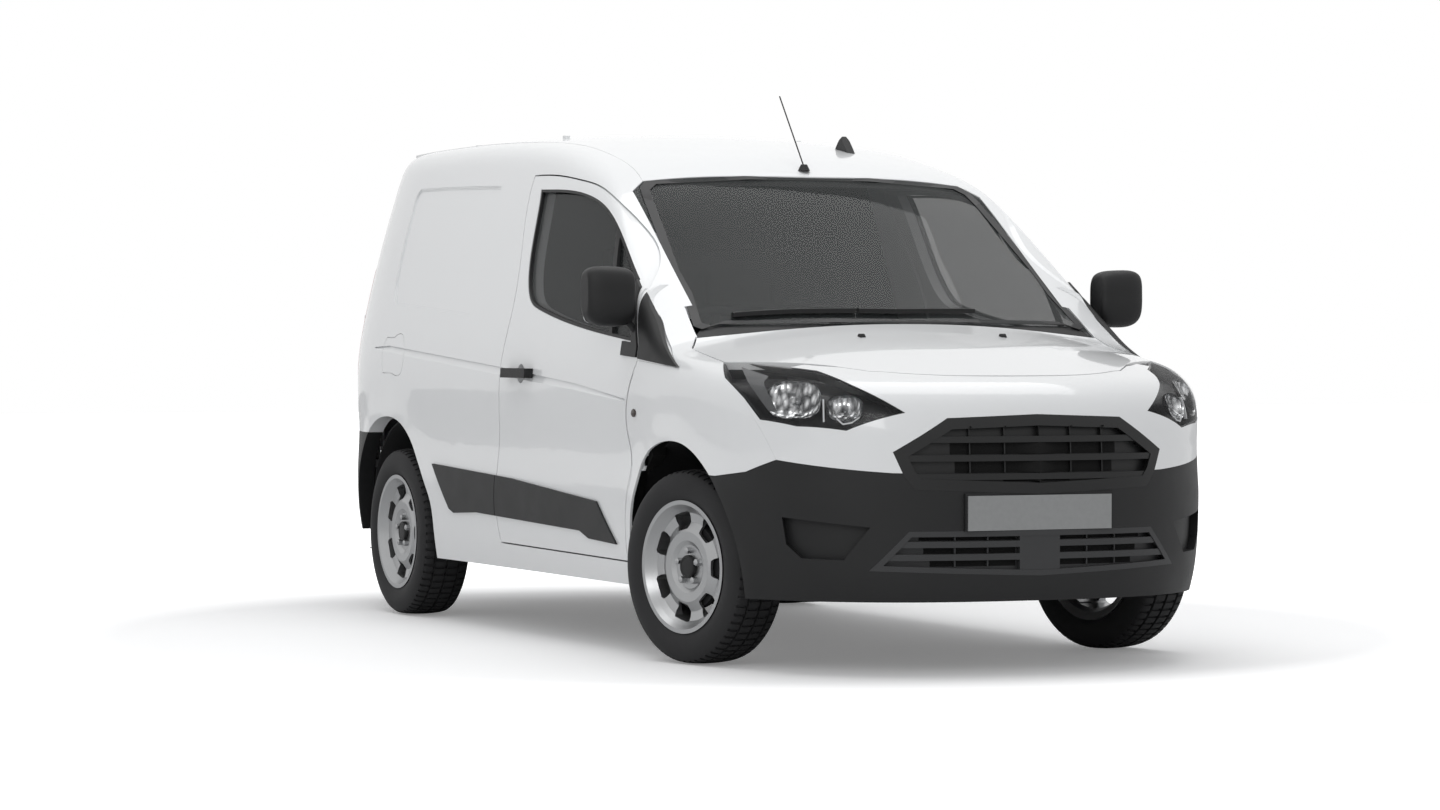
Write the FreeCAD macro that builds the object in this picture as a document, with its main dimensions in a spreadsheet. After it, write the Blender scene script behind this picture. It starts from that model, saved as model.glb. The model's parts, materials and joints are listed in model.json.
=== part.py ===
import FreeCAD, Part
import math
import os
from types import SimpleNamespace
from FreeCAD import Vector, Placement, Rotation

os.makedirs("parts", exist_ok=True)
doc = FreeCAD.newDocument("panel_van")

# Driving dimensions, millimetres and degrees. X is forward, Y is left, Z is up.
# The origin is on the ground, at mid length on the centre line.
DIMENSIONS = {
    # whole body
    "wheelbase": 2662.0,
    "front_overhang": 896.0,
    "rear_overhang": 867.0,
    "half_width": 908.0,
    "roof_height": 1848.0,
    "sill_underside": 252.0,
    "wall_thick": 60.0,
    "wing_thick": 8.0,
    "flange_thick": 15.0,
    "flange_step": 18.0,
    "roof_thick": 34.0,
    "shoulder_radius": 85.0,
    "crown_drop": 66.0,
    "flare_rise": 12.0,
    "shutline": 5.0,
    "seam": 0.6,
    "seat_gap": 0.3,
    "overrun": 400.0,
    # wheels
    "tyre_radius": 322.0,
    "tyre_wide": 205.0,
    "rim_gauge": 7.0,
    "window_count": 7.0,
    "hub_bore_radius": 31.7,
    "front_track": 1561.0,
    "rear_track": 1580.0,
    "steer_rest_deg": 13.0,
    "kingpin_setback": 12.0,
    "kingpin_lean_deg": 14.7,
    "ball_joint_out": 720.0,
    "ball_joint_up": 190.0,
    "strut_radius": 25.0,
    "strut_top": 800.0,
    "spring_radius": 62.0,
    "disc_radius": 139.0,
    "disc_thick": 24.0,
    "hub_radius": 68.0,
    "hub_face": 52.5,
    # glass
    "pane_depth": 14.0,
    "pane_thick": 5.0,
    "screen_depth": 5.0,
    "screen_thick": 6.0,
    # cab
    "cab_floor_up": 330.0,
    "floor_thick": 30.0,
    "load_floor_up": 590.0,
    "shelf_up": 780.0,
    "firewall_x": 880.0,
    "dash_x": 850.0,
    "dash_long": 300.0,
    "dash_high": 280.0,
    "dash_half_wide": 800.0,
    "driver_out": 400.0,
    "twin_out": 149.0,
    "twin_wide": 580.0,
    "head_wide": 190.0,
    "head_high": 140.0,
    "head_up": 1296.0,
    "bulkhead_x": -420.0,
    "bulkhead_thick": 20.0,
    "seat_x": 150.0,
    "seat_out": 400.0,
    "seat_wide": 500.0,
    "seat_long": 520.0,
    "seat_high": 130.0,
    "cushion_up": 560.0,
    "back_high": 620.0,
    "back_thick": 120.0,
    "steering_radius": 185.0,
    "steering_grip": 15.0,
    "steering_x": 500.0,
    "steering_up": 1010.0,
    "steering_lean_deg": 28.0,
    "column_radius": 22.0,
    # below
    "engine_long": 520.0,
    "engine_wide": 720.0,
    "engine_high": 560.0,
    "engine_x": 1640.0,
    "engine_up": 330.0,
    "axle_beam_radius": 40.0,
    "damper_radius": 26.0,
    "pipe_radius": 27.0,
    "silencer_radius": 90.0,
    "silencer_long": 420.0,
    "tank_long": 620.0,
    "tank_wide": 710.0,
    "tank_high": 170.0,
    "tank_x": -770.0,
    "tank_y": 120.0,
    "pipe_out": 420.0,
    "pipe_up": 272.7,
    "silencer_x": -1770.0,
    "rail_out": 520.0,
    "rail_wide": 70.0,
    "front_rail_out": 430.0,
    "front_rail_up": 480.0,
    "front_house_in": 484.0,
    "rear_house_in": 600.0,
    "house_radius": 425.0,
    "house_thick": 6.0,
    "beam_ahead": 180.0,
    "beam_up": 270.0,
    "rear_arm_out": 560.0,
    "rear_arm_long": 420.0,
    "subframe_up": 200.0,
    # roof fittings
    "aerial_long": 340.0,
    "aerial_radius": 2.5,
    "aerial_foot": 22.0,
    "rear_ear_reach": 100.0,
    "rear_barrel_radius": 12.0,
    "rear_leaf_thick": 16.0,
    "rear_leaf_reach": 75.0,
    "hanger_wide": 20.0,
    "plinth_inset": 40.0,
    "stalk_thick": 16.0,
    "stalk_wide": 100.0,
    "twin_head_out": 168.0,
    "spoke_wide": 30.0,
    "spoke_thick": 12.0,
    "stub_long": 90.0,
    "arm_rise": 60.0,
    "damper_foot": 60.0,
    "subframe_back": 150.0,
    "subframe_fore": 120.0,
    "arm_wide": 50.0,
    "arm_inner": 400.0,
    "ball_room": 60.0,
    "bracket_wide": 40.0,
    "spring_gap": 10.0,
    "spring_long": 130.0,
    "rubber_sunk": 2.0,
    "aerial_base_x": 460.5,
    "fin_x": 91.0,
    "fin_y": 340.0,
    "fin_long": 150.0,
    "fin_high": 52.0,
    "fin_wide": 30.0,
    "rack_boss_radius": 14.0,
    "rack_hole_radius": 3.4,
    "rack_x": -1050.0,
    "rack_half_x": 450.0,
    "rack_half_y": 480.0,
    # mirrors and handles
    "mirror_out": 1068.0,
    "mirror_long": 120.0,
    "mirror_high": 200.0,
    "mirror_wide": 172.0,
    "mirror_arm_x": 996.0,
    "mirror_arm_out": 930.0,
    "mirror_arm_up": 1150.0,
    "mirror_foot_out": 850.0,
    "mirror_foot_up": 1060.0,
    "mirror_arm_radius": 12.0,
    "handle_long": 230.0,
    "handle_high": 34.0,
    "handle_depth": 34.0,
    "handle_x": 8.0,
    "cup_radius": 55.0,
    "cup_deep": 13.0,
    "handle_up": 949.0,
    "mirror_x": 985.0,
    "mirror_up": 1215.0,
    # hinges
    "lens_thick": 5.0,
    "lamp_deep": 60.0,
    "lamp_turn_deg": 48.0,
    "fog_turn_deg": 42.0,
    "fog_deep": 34.0,
    "plate_long": 520.0,
    "plate_high": 111.0,
    "plate_up": 522.0,
    "plate_thick": 5.0,
    "grille_frame": 36.0,
    "grille_deep": 30.0,
    "grille_bar": 20.0,
    "seal_wide": 45.0,
    "rubber_wide": 10.0,
    "room_gap": 1.0,
    "trim_gap": 0.8,
    "side_clear": 5.0,
    "leaf_reach": 90.0,
    "post_reach": 55.0,
    "cowl_sunk": 12.0,
    "cowl_thick": 10.0,
    "cowl_tie": 8.0,
    "bonnet_arm_wide": 15.0,
    "bonnet_arm_long": 104.0,
    "hub_deep": 30.0,
    "column_reach": 430.0,
    "band_depth": 9.0,
    "press_depth": 6.0,
    "press_step": 5.0,
    "groove_wide": 2.5,
    "pin_radius": 5.0,
    "knuckle_radius": 8.0,
    "knuckle_high": 34.0,
    "pin_play": 0.3,
    "door_pin_x": 1075.0,
    "door_pin_depth": 19.0,
    "rear_pin_x": -2078.0,
    "rear_pin_out": 742.0,
    "bonnet_pin_x": 1222.0,
    "bonnet_pin_out": 300.0,
    "bonnet_thick": 25.0,
}

sheet = doc.addObject("Spreadsheet::Sheet", "Sizes")
for row, (alias, value) in enumerate(DIMENSIONS.items(), start=1):
    sheet.set(f"A{row}", alias)
    sheet.set(f"B{row}", str(value))
    sheet.setAlias(f"B{row}", alias)
doc.recompute()
D = SimpleNamespace(**{alias: float(sheet.get(alias)) for alias in DIMENSIONS})

front_axle = (D.wheelbase + D.rear_overhang - D.front_overhang) / 2
rear_axle = front_axle - D.wheelbase
nose_x = front_axle + D.front_overhang
tail_x = rear_axle - D.rear_overhang


# Body form: shares of the spans that they follow
def along(share):
    """X of a share: 0 to 1 ahead of the front axle, 0 to -1 in the wheelbase, -1 to -2 behind."""
    if share >= 0:
        return front_axle + share * D.front_overhang
    if share >= -1:
        return front_axle + share * D.wheelbase
    return rear_axle + (share + 1) * D.rear_overhang


def up(share):
    return share * D.roof_height


def out(share):
    return share * D.half_width


SECTION_SHARES = [(0.108, 0.947), (0.141, 0.965), (0.184, 0.983), (0.244, 0.995), (0.303, 0.998),
                  (0.346, 0.992), (0.390, 0.990), (0.433, 0.997), (0.487, 1.0), (0.530, 0.997),
                  (0.574, 0.985), (0.617, 0.968), (0.703, 0.926), (0.785, 0.882), (0.866, 0.834),
                  (0.947, 0.780), (1.028, 0.721)]
ROOFLINE_SHARES = [(-2.082, 0.981), (-1.736, 0.991), (-1.275, 0.998), (-0.902, 1.0), (-0.714, 0.995),
                   (-0.564, 0.981), (-0.451, 0.958), (-0.376, 0.935), (-0.334, 0.915), (-0.3, 0.887),
                   (-0.162, 0.750), (-0.038, 0.626), (-0.022, 0.611), (0.0, 0.604), (0.446, 0.562),
                   (0.815, 0.518), (1.004, 0.494), (1.116, 0.476)]
CROWN_SHARES = [(-2.082, 0.68), (-0.564, 0.68), (-0.376, 0.91), (-0.3, 0.94), (-0.162, 1.0),
                (-0.022, 0.94), (0.223, 0.85), (1.004, 0.70)]
SHOULDER_SHARES = [(-2.082, 1.0), (-0.413, 0.94), (-0.3, 0.59), (-0.038, 0.53), (0.112, 0.82),
                   (0.446, 1.12), (1.004, 1.7)]
NOSE_SHARES = [(0.108, 0.973), (0.141, 0.993), (0.179, 1.0), (0.325, 1.0), (0.379, 0.997),
               (0.455, 0.982), (0.541, 0.960)]
TAIL_SHARES = [(0.108, 0.97), (0.2, 0.995), (0.3, 1.0), (0.5, 0.992), (0.7, 0.975), (0.9, 0.94), (1.0, 0.92)]
NOSE_POWER = 2.55
TAIL_POWER = 3.5
CROWN_POWER = 2.2
CROWN_SPAN_SHARE = 0.771
CURVE_POINTS = 20


def follow(table, at):
    """Smooth height of a table at a place, with no overshoot between its points."""
    if at <= table[0][0]:
        index = 0
    elif at >= table[-1][0]:
        index = len(table) - 2
    else:
        index = next(i for i in range(len(table) - 1) if table[i][0] <= at <= table[i + 1][0])

    def slope(k):
        if k == 0 or k == len(table) - 1:
            low = min(k, len(table) - 2)
            return (table[low + 1][1] - table[low][1]) / (table[low + 1][0] - table[low][0])
        before = table[k][0] - table[k - 1][0]
        after = table[k + 1][0] - table[k][0]
        rise_before = (table[k][1] - table[k - 1][1]) / before
        rise_after = (table[k + 1][1] - table[k][1]) / after
        if rise_before * rise_after <= 0:
            return 0.0
        weight_before = 2 * after + before
        weight_after = after + 2 * before
        return (weight_before + weight_after) / (weight_before / rise_before + weight_after / rise_after)

    (x0, y0), (x1, y1) = table[index], table[index + 1]
    span = x1 - x0
    if at <= table[0][0] or at >= table[-1][0]:
        end = 0 if at <= table[0][0] else len(table) - 1
        return table[end][1] + slope(end) * (at - table[end][0])
    step = (at - x0) / span
    square, cube = step ** 2, step ** 3
    return ((2 * cube - 3 * square + 1) * y0 + (cube - 2 * square + step) * span * slope(index)
            + (3 * square - 2 * cube) * y1 + (cube - square) * span * slope(index + 1))


section = [(up(a), out(b)) for a, b in SECTION_SHARES]
roofline = [(along(a), up(b)) for a, b in ROOFLINE_SHARES]
crown = [(along(a), b * D.crown_drop) for a, b in CROWN_SHARES]
shoulder = [(along(a), b * D.shoulder_radius) for a, b in SHOULDER_SHARES]
nose = [(up(a), b * D.front_overhang) for a, b in NOSE_SHARES]
tail = [(up(a), b * D.rear_overhang) for a, b in TAIL_SHARES]
wheel_up = D.tyre_radius
skirt_low = D.sill_underside - 0.2 * D.wall_thick
FRONT_ARCH_SHARES = [(-25, 1.30), (0, 1.36), (25, 1.335), (50, 1.325), (72, 1.32), (89, 1.29), (104, 1.28),
                     (118.5, 1.262), (133, 1.17), (145, 1.10), (162, 1.03), (180, 1.02), (200, 1.03)]
REAR_ARCH_SHARES = [(-20, 1.36), (3.6, 1.39), (12.3, 1.42), (29, 1.33), (46, 1.28), (62.5, 1.31),
                    (79, 1.36), (97, 1.395), (115, 1.44), (130, 1.46), (148, 1.42), (169, 1.33),
                    (180, 1.29), (200, 1.28)]


def arch_radius(shares, angle):
    return follow([(a, b * D.tyre_radius) for a, b in shares], angle)


def flare(x, z):
    """How far the skin stands out round the wheel arches."""
    rise = 0.0
    for axle, shares in ((front_axle, FRONT_ARCH_SHARES), (rear_axle, REAR_ARCH_SHARES)):
        angle = math.degrees(math.atan2(z - wheel_up, x - axle))
        if angle < -90:
            angle += 360
        beyond = math.hypot(x - axle, z - wheel_up) / arch_radius(shares, max(-20, min(200, angle)))
        rise += D.flare_rise * math.exp(-((beyond - 1.0) / 0.11) ** 2)
    return rise


def skin_point(station, z, inset):
    """Outer skin at a height. Stations: -1 tail centre, 0 rear axle, 1 front axle, 2 nose centre."""
    wide = follow(section, z) - inset
    if 0 <= station <= 1:
        x = rear_axle + station * D.wheelbase
        y = wide
    else:
        ahead = station > 1
        turn = math.radians(90 * (station - 1 if ahead else -station))
        power = NOSE_POWER if ahead else TAIL_POWER
        reach = (follow(nose, z) if ahead else follow(tail, z)) - inset
        x = front_axle + reach * math.sin(turn) ** (2 / power) if ahead \
            else rear_axle - reach * math.sin(turn) ** (2 / power)
        y = wide * max(0.0, math.cos(turn)) ** (2 / power)
    return x, y + flare(x, z)


def inward(station):
    """Level direction from the skin towards the inside."""
    if 0 <= station <= 1:
        return 0.0, -1.0
    ahead = station > 1
    turn = math.radians(90 * (station - 1 if ahead else -station))
    power = NOSE_POWER if ahead else TAIL_POWER
    reach = D.front_overhang if ahead else D.rear_overhang
    pull_x = math.sin(turn) ** (2 - 2 / power) / reach
    pull_y = max(0.0, math.cos(turn)) ** (2 - 2 / power) / D.half_width
    size = math.hypot(pull_x, pull_y)
    return (-pull_x if ahead else pull_x) / size, -pull_y / size


def top(x, y):
    """Height of the roof, windscreen or bonnet over a place."""
    return follow(roofline, x) - follow(crown, x) * abs(y / (CROWN_SPAN_SHARE * D.half_width)) ** CROWN_POWER


def section_curve(station, inset, inset_top, low, margin, side_steps, corner_steps):
    """Points of one upright section of the body, from the lower edge over the shoulder."""
    toward_x, toward_y = inward(station)
    z = up(0.5)
    for _ in range(40):
        x, y = skin_point(station, z, inset)
        z = 0.5 * z + 0.5 * (top(x, y) - inset_top)
    radius = max(0.25 * D.shoulder_radius, follow(shoulder, x) - 0.5 * (inset + inset_top))
    corner_z = z
    start_z = corner_z - radius
    points = []
    for step in range(side_steps):
        level = low + (start_z - low) * step / (side_steps - 1)
        px, py = skin_point(station, level, inset)
        points.append(Vector(px, -py, level))
    corner_x, corner_y = skin_point(station, corner_z, inset)
    end_x = corner_x + toward_x * radius
    end_y = corner_y + toward_y * radius
    corner = Vector(corner_x, -corner_y, corner_z)
    end = Vector(end_x, -end_y, top(end_x, end_y) - inset_top)
    first = points[-1]
    for step in range(1, corner_steps):
        t = step / corner_steps
        points.append(first * (1 - t) ** 2 + corner * (2 * t * (1 - t)) + end * t ** 2)
    points.append(end)
    for step in (0.5, 1.0):
        mx = end_x + toward_x * margin * step
        my = end_y + toward_y * margin * step
        points.append(Vector(mx, -my, top(mx, my) - inset_top))
    return points


def net_surface(rows):
    """Smooth cubic surface on a net of points, clamped at its edges."""
    degree = 3

    def knots(count):
        inner = count - degree - 1
        return list(range(inner + 2)), [degree + 1] + [1] * inner + [degree + 1]

    knots_u, mults_u = knots(len(rows))
    knots_v, mults_v = knots(len(rows[0]))
    surface = Part.BSplineSurface()
    surface.buildFromPolesMultsKnots(rows, mults_u, mults_v, knots_u, knots_v, False, False, degree, degree)
    return surface


def closed_wall(skin, lining):
    """Solid between two surfaces that run alike."""
    faces = [skin.toShape(), lining.toShape()]
    for at_end in (0, 1):
        faces.append(Part.makeRuledSurface(skin.uIso(skin.bounds()[at_end]).toShape(),
                                           lining.uIso(lining.bounds()[at_end]).toShape()))
        faces.append(Part.makeRuledSurface(skin.vIso(skin.bounds()[2 + at_end]).toShape(),
                                           lining.vIso(lining.bounds()[2 + at_end]).toShape()))
    shell = Part.makeShell(faces)
    shell.sewShape()
    solid = Part.makeSolid(Part.Shell(shell.Faces))
    if solid.Volume < 0:
        solid.reverse()
    return solid


def wrap_wall(stations, outer, inner, outer_top, inner_top, margin, full=False, side_steps=26,
              corner_steps=5):
    """Curved wall between two insets of the skin, on the right, or with full across the centre line."""
    surfaces = []
    for inset, inset_top in ((outer, outer_top), (inner, inner_top)):
        rows = [section_curve(s, inset, inset_top, skirt_low, margin, side_steps, corner_steps)
                for s in stations]
        if full:
            rows += [[Vector(p.x, -p.y, p.z) for p in row] for row in reversed(rows[:-1])]
        surfaces.append(net_surface(rows))
    return closed_wall(*surfaces)


def top_wall(x_from, x_to, half_wide, inset, thick, steps_x=30, steps_y=12):
    """Wall under the roof, windscreen or bonnet, thick along Z."""
    rows = []
    for i in range(steps_x + 1):
        x = x_from + (x_to - x_from) * i / steps_x
        row = []
        for j in range(-steps_y, steps_y + 1):
            y = half_wide * j / steps_y
            row.append(Vector(x, y, top(x, y) - inset))
        rows.append(row)
    return net_surface(rows).toShape().extrude(Vector(0, 0, -thick))


def runs_face(runs, place):
    """Face inside runs of points that follow each other: two points make a line, more make a curve."""
    edges = []
    for run in runs:
        points = [place(p) for p in run]
        if len(points) == 2:
            edges.append(Part.makeLine(points[0], points[1]))
        else:
            curve = Part.BSplineCurve()
            curve.interpolate(points)
            edges.append(curve.toShape())
    start, end = place(runs[0][0]), place(runs[-1][-1])
    if start.distanceToPoint(end) > D.seat_gap:
        edges.append(Part.makeLine(end, start))
    return Part.Face(Part.Wire(Part.__sortEdges__(edges)))


side_reach = D.half_width + D.overrun
tall_reach = D.roof_height + D.overrun


def in_side(p):
    return Vector(along(p[0]), 0, up(p[1]))


def in_plan(p):
    return Vector(along(p[0]), out(p[1]), 0)


def in_front(p):
    return Vector(0, out(p[0]), up(p[1]))


def grown(face, grow):
    """Face with its outline moved out, or in where negative, as plain lines and curves."""
    if not grow:
        return face
    edges = []
    for edge in face.makeOffset2D(grow).OuterWire.Edges:
        if isinstance(edge.Curve, Part.Line):
            edges.append(edge)
        else:
            curve = Part.BSplineCurve()
            curve.interpolate(edge.discretize(CURVE_POINTS))
            edges.append(curve.toShape())
    return Part.Face(Part.Wire(Part.__sortEdges__(edges)))


def side_cutter(runs, grow=0.0):
    """Right-hand block through an outline seen from the side."""
    return grown(runs_face(runs, in_side), grow).extrude(Vector(0, -side_reach, 0))


def plan_cutter(runs, grow=0.0):
    return grown(runs_face(runs, in_plan), grow).extrude(Vector(0, 0, tall_reach))


def end_cutter(runs, start, grow=0.0):
    """Block through an outline seen from the front or the back, from a place along to past that end."""
    face = grown(runs_face(runs, in_front), grow)
    face.translate(Vector(start, 0, 0))
    return face.extrude(Vector(math.copysign(nose_x, start) - start + math.copysign(D.overrun, start), 0, 0))


def mirrored(shape):
    return shape.mirror(Vector(0, 0, 0), Vector(0, 1, 0))


def both(shape):
    return [shape, mirrored(shape)]


def one_solid(shape):
    """The largest solid of a cut, without the crumbs."""
    return max(shape.Solids, key=lambda s: s.Volume)


def panel(label, shape):
    thing = doc.addObject("Part::Feature", label)
    thing.Label = label
    thing.Shape = shape
    nodes.append(thing)
    return thing


nodes = []


def machined(kind, label, sizes, place=None):
    """Primitive whose sizes follow the sheet."""
    thing = doc.addObject(kind, label)
    for name, formula in sizes.items():
        thing.setExpression(name, formula)
    if place:
        thing.Placement = place
    return thing


def keep(thing, label):
    thing.Label = label
    nodes.append(thing)
    return thing


# Outlines seen from the side, as shares along and up
DOOR_SHARES = [
    [(-0.599, 0.903), (-0.499, 0.898), (-0.422, 0.886), (-0.344, 0.867), (-0.297, 0.842), (-0.25, 0.802),
     (-0.189, 0.740), (-0.137, 0.675)],
    [(-0.137, 0.675), (-0.098, 0.567)],
    [(-0.098, 0.567), (-0.098, 0.541)],
    [(-0.098, 0.541), (-0.116, 0.505), (-0.131, 0.456), (-0.130, 0.407), (-0.120, 0.375),
     (-0.116, 0.35), (-0.122, 0.31), (-0.132, 0.26), (-0.136, 0.22), (-0.137, 0.172)],
    [(-0.137, 0.172), (-0.578, 0.178)],
    [(-0.578, 0.178), (-0.586, 0.24), (-0.580, 0.34), (-0.575, 0.403), (-0.567, 0.53), (-0.556, 0.63),
     (-0.569, 0.738), (-0.591, 0.822), (-0.599, 0.903)]]
DOOR_GLASS_SHARES = [
    [(-0.561, 0.873), (-0.422, 0.863), (-0.367, 0.851), (-0.298, 0.822), (-0.224, 0.759), (-0.156, 0.690)],
    [(-0.156, 0.690), (-0.121, 0.576)],
    [(-0.121, 0.576), (-0.223, 0.589), (-0.36, 0.612), (-0.46, 0.636), (-0.499, 0.655),
     (-0.518, 0.683), (-0.541, 0.77), (-0.561, 0.873)]]
SAIL_SHARES = [[(-0.133, 0.680), (-0.119, 0.657), (-0.081, 0.617), (-0.039, 0.574), (-0.011, 0.552), (0.069,
                                                                                                      0.531)],
               [(0.069, 0.531), (-0.094, 0.545)], [(-0.094, 0.545), (-0.094, 0.567)],
               [(-0.094, 0.567), (-0.133, 0.680)]]
DOOR_SAIL_SHARES = [(-0.157, 0.690), (-0.143, 0.676), (-0.101, 0.566), (-0.101, 0.547), (-0.150, 0.551),
                    (-0.150, 0.577), (-0.121, 0.574)]
QUARTER_BAR_SHARES = [(-0.262, 0.80), (-0.250, 0.80), (-0.192, 0.578), (-0.204, 0.578)]
WING_SHARES = [
    [(-0.135, 0.10), (-0.135, 0.172)],
    [(-0.135, 0.172), (-0.134, 0.22), (-0.130, 0.26), (-0.120, 0.31), (-0.114, 0.35), (-0.118, 0.375),
     (-0.128, 0.407), (-0.129, 0.456), (-0.114, 0.505), (-0.096, 0.541)],
    [(-0.096, 0.541), (-0.094, 0.541)], [(-0.094, 0.541), (0.051, 0.530)],
    [(0.051, 0.530), (-0.011, 0.549), (-0.045, 0.575), (-0.084, 0.613)], [(-0.084, 0.613), (-0.093, 0.636)],
    [(-0.093, 0.636), (-0.060, 0.72)], [(-0.060, 0.72), (0.45, 0.72)],
    [(0.45, 0.72), (0.495, 0.479)], [(0.495, 0.479), (0.573, 0.424)],
    [(0.573, 0.424), (0.629, 0.373)], [(0.629, 0.373), (0.506, 0.351)],
    [(0.506, 0.351), (0.36, 0.342)], [(0.36, 0.342), (0.2, 0.2)],
    [(0.2, 0.2), (-0.135, 0.10)]]
BUMPER_SHARES = [(0.15, 0.05), (0.15, 0.345), (0.36, 0.342), (0.506, 0.351), (0.629, 0.373), (0.911, 0.352),
                 (1.2, 0.345), (1.2, 0.05)]
CLADDING_SHARES = [(-0.827, 0.324), (-0.762, 0.236), (-0.744, 0.228), (-0.655, 0.234), (-0.285, 0.221),
                   (-0.256, 0.208), (-0.166, 0.203), (-0.226, 0.279), (-0.527, 0.308)]
SLIDER_SHARES = [[(-0.607, 0.895), (-0.935, 0.905)], [(-0.935, 0.905), (-1.02, 0.905)],
                 [(-1.02, 0.905), (-1.00, 0.45)], [(-1.00, 0.45), (-0.92, 0.40), (-0.86, 0.31), (-0.845,
                                                                                                 0.19)],
                 [(-0.845, 0.19), (-0.583, 0.184)],
                 [(-0.583, 0.184), (-0.591, 0.24), (-0.585, 0.34), (-0.580, 0.403), (-0.572, 0.53),
                  (-0.561, 0.63), (-0.574, 0.738), (-0.596, 0.822), (-0.607, 0.895)]]
ROOF_EDGE_SHARES = [(-2.2, 0.665), (-1.4, 0.672), (-0.7, 0.672), (-0.46, 0.66), (-0.36, 0.675), (-0.295,
                                                                                                 0.70)]
SCREEN_SHARES = [[(-0.307, 0.0), (-0.312, 0.3), (-0.324, 0.686)], [(-0.324, 0.686), (-0.306, 0.753)],
                 [(-0.306, 0.753), (-0.057, 0.787)], [(-0.057, 0.787), (-0.028, 0.35), (-0.022, 0.0)]]
BONNET_SHARES = [[(-0.014, 0.0), (-0.02, 0.5), (-0.035, 0.837)], [(-0.035, 0.837), (-0.013, 0.881)],
                 [(-0.013, 0.881), (0.247, 0.881)], [(0.247, 0.881), (0.36, 0.78), (0.527, 0.617), (0.584,
                                                                                                    0.573)],
                 [(0.584, 0.573), (0.666, 0.507)], [(0.666, 0.507), (0.689, 0.463)],
                 [(0.689, 0.463), (0.79, 0.25), (0.815, 0.0)]]
LEAF_SHARES = [(0.055, 0.0), (0.0, 0.445), (-0.31, 0.845), (-0.667, 0.733), (-1.0, 0.52), (-1.0, 0.42),
               (-0.645, 0.633), (-0.333, 0.733), (-0.133, 0.40), (-0.055, -0.033)]
BONNET_ARM_SHARES = [(0.0, 0.067), (-0.067, 0.0), (0.0, -0.077), (0.212, -0.231), (0.596, -0.269), (1.0,
                                                                                                    -0.231),
                     (1.0, 0.058), (0.635, -0.077), (0.288, -0.077), (0.115, 0.029)]
COWL_SHARES = [[(-0.024, 0.0), (-0.030, 0.35), (-0.059, 0.78)], [(-0.059, 0.78), (-0.038, 0.85)],
               [(-0.038, 0.85), (-0.026, 0.5), (-0.020, 0.0)]]
BAND_SHARES = [(-1.25, 0.562, 0.557), (-1.05, 0.565, 0.549), (-0.80, 0.546, 0.528), (-0.55, 0.524, 0.506),
               (-0.30, 0.498, 0.483), (-0.135, 0.472, 0.466)]
INSET_SHARES = [[(-1.13, 0.895), (-0.94, 0.894), (-0.60, 0.880)], [(-0.60, 0.880), (-0.585, 0.80)],
                [(-0.585, 0.80), (-0.562, 0.70), (-0.560, 0.635), (-0.567, 0.612)],
                [(-0.567, 0.612), (-0.80, 0.631), (-1.03, 0.648)],
                [(-1.03, 0.648), (-1.09, 0.655), (-1.13, 0.68), (-1.16, 0.76), (-1.17, 0.85), (-1.16, 0.885),
                 (-1.13, 0.895)]]
FLAP_SHARES = [[(-1.116, 0.506), (-1.0, 0.506)], [(-1.0, 0.506), (-0.957, 0.512), (-0.955, 0.56)],
               [(-0.955, 0.56), (-0.962, 0.581), (-1.0, 0.582)], [(-1.0, 0.582), (-1.1, 0.582)],
               [(-1.1, 0.582), (-1.116, 0.575), (-1.116, 0.506)]]
LAMP_PLACES = [(0.218, -0.88, 0.549), (0.36, -0.775, 0.528), (0.527, -0.617, 0.506), (0.70, -0.555, 0.478),
               (0.897, -0.477, 0.452), (0.82, -0.672, 0.423), (0.69, -0.80, 0.428), (0.571, -0.892, 0.442),
               (0.495, -0.92, 0.479), (0.37, -0.94, 0.515)]
LAMP_RISE = 0.55
FOG_PLACES = [(0.649, -0.850, 0.277), (0.881, -0.600, 0.260), (0.827, -0.679, 0.200), (0.708, -0.800, 0.201),
              (0.660, -0.839, 0.227)]
GRILLE_SHARES = [(-0.536, 0.388), (-0.50, 0.345), (-0.462, 0.323), (0.0, 0.314), (0.462, 0.323), (0.50,
                                                                                                  0.345),
                 (0.536, 0.388), (0.345, 0.446), (0.0, 0.452), (-0.345, 0.446)]
LOWER_GRILLE_SHARES = [(-0.61, 0.184), (-0.485, 0.252), (0.485, 0.252), (0.61, 0.184), (0.0, 0.173)]
REAR_DOORS_SHARES = [(-0.80, 0.33), (-0.80, 0.62), (-0.735, 0.80), (-0.655, 0.915), (0.655, 0.915),
                     (0.735, 0.80), (0.80, 0.62), (0.80, 0.33)]
REAR_BUMPER_SHARES = [(-1.3, 0.17), (-1.3, 0.379), (-0.806, 0.379), (-0.806, 0.326), (0.806, 0.326),
                      (0.806, 0.379), (1.3, 0.379), (1.3, 0.17)]
TAIL_LAMP_SHARES = [(-0.945, 0.50), (-0.85, 0.50), (-0.85, 0.62), (-0.835, 0.70), (-0.85, 0.73), (-0.89,
                                                                                                  0.70),
                    (-0.94, 0.62)]


def polygon_runs(points):
    return [[a, b] for a, b in zip(points, points[1:] + points[:1])]


def arch_face(axle, shares, grow=0.0):
    points = [Vector(axle + (arch_radius(shares, a) + grow) * math.cos(math.radians(a)), 0,
                     wheel_up + (arch_radius(shares, a) + grow) * math.sin(math.radians(a)))
              for a, _ in shares]
    curve = Part.BSplineCurve()
    curve.interpolate(points)
    low = points[-1].z - D.tyre_radius
    legs = [points[-1], Vector(points[-1].x, 0, low), Vector(points[0].x, 0, low), points[0]]
    edges = [curve.toShape()] + [Part.makeLine(a, b) for a, b in zip(legs, legs[1:])]
    return Part.Face(Part.Wire(Part.__sortEdges__(edges)))


def spread(low, high, count):
    return [low + (high - low) * i / count for i in range(count + 1)]


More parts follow.
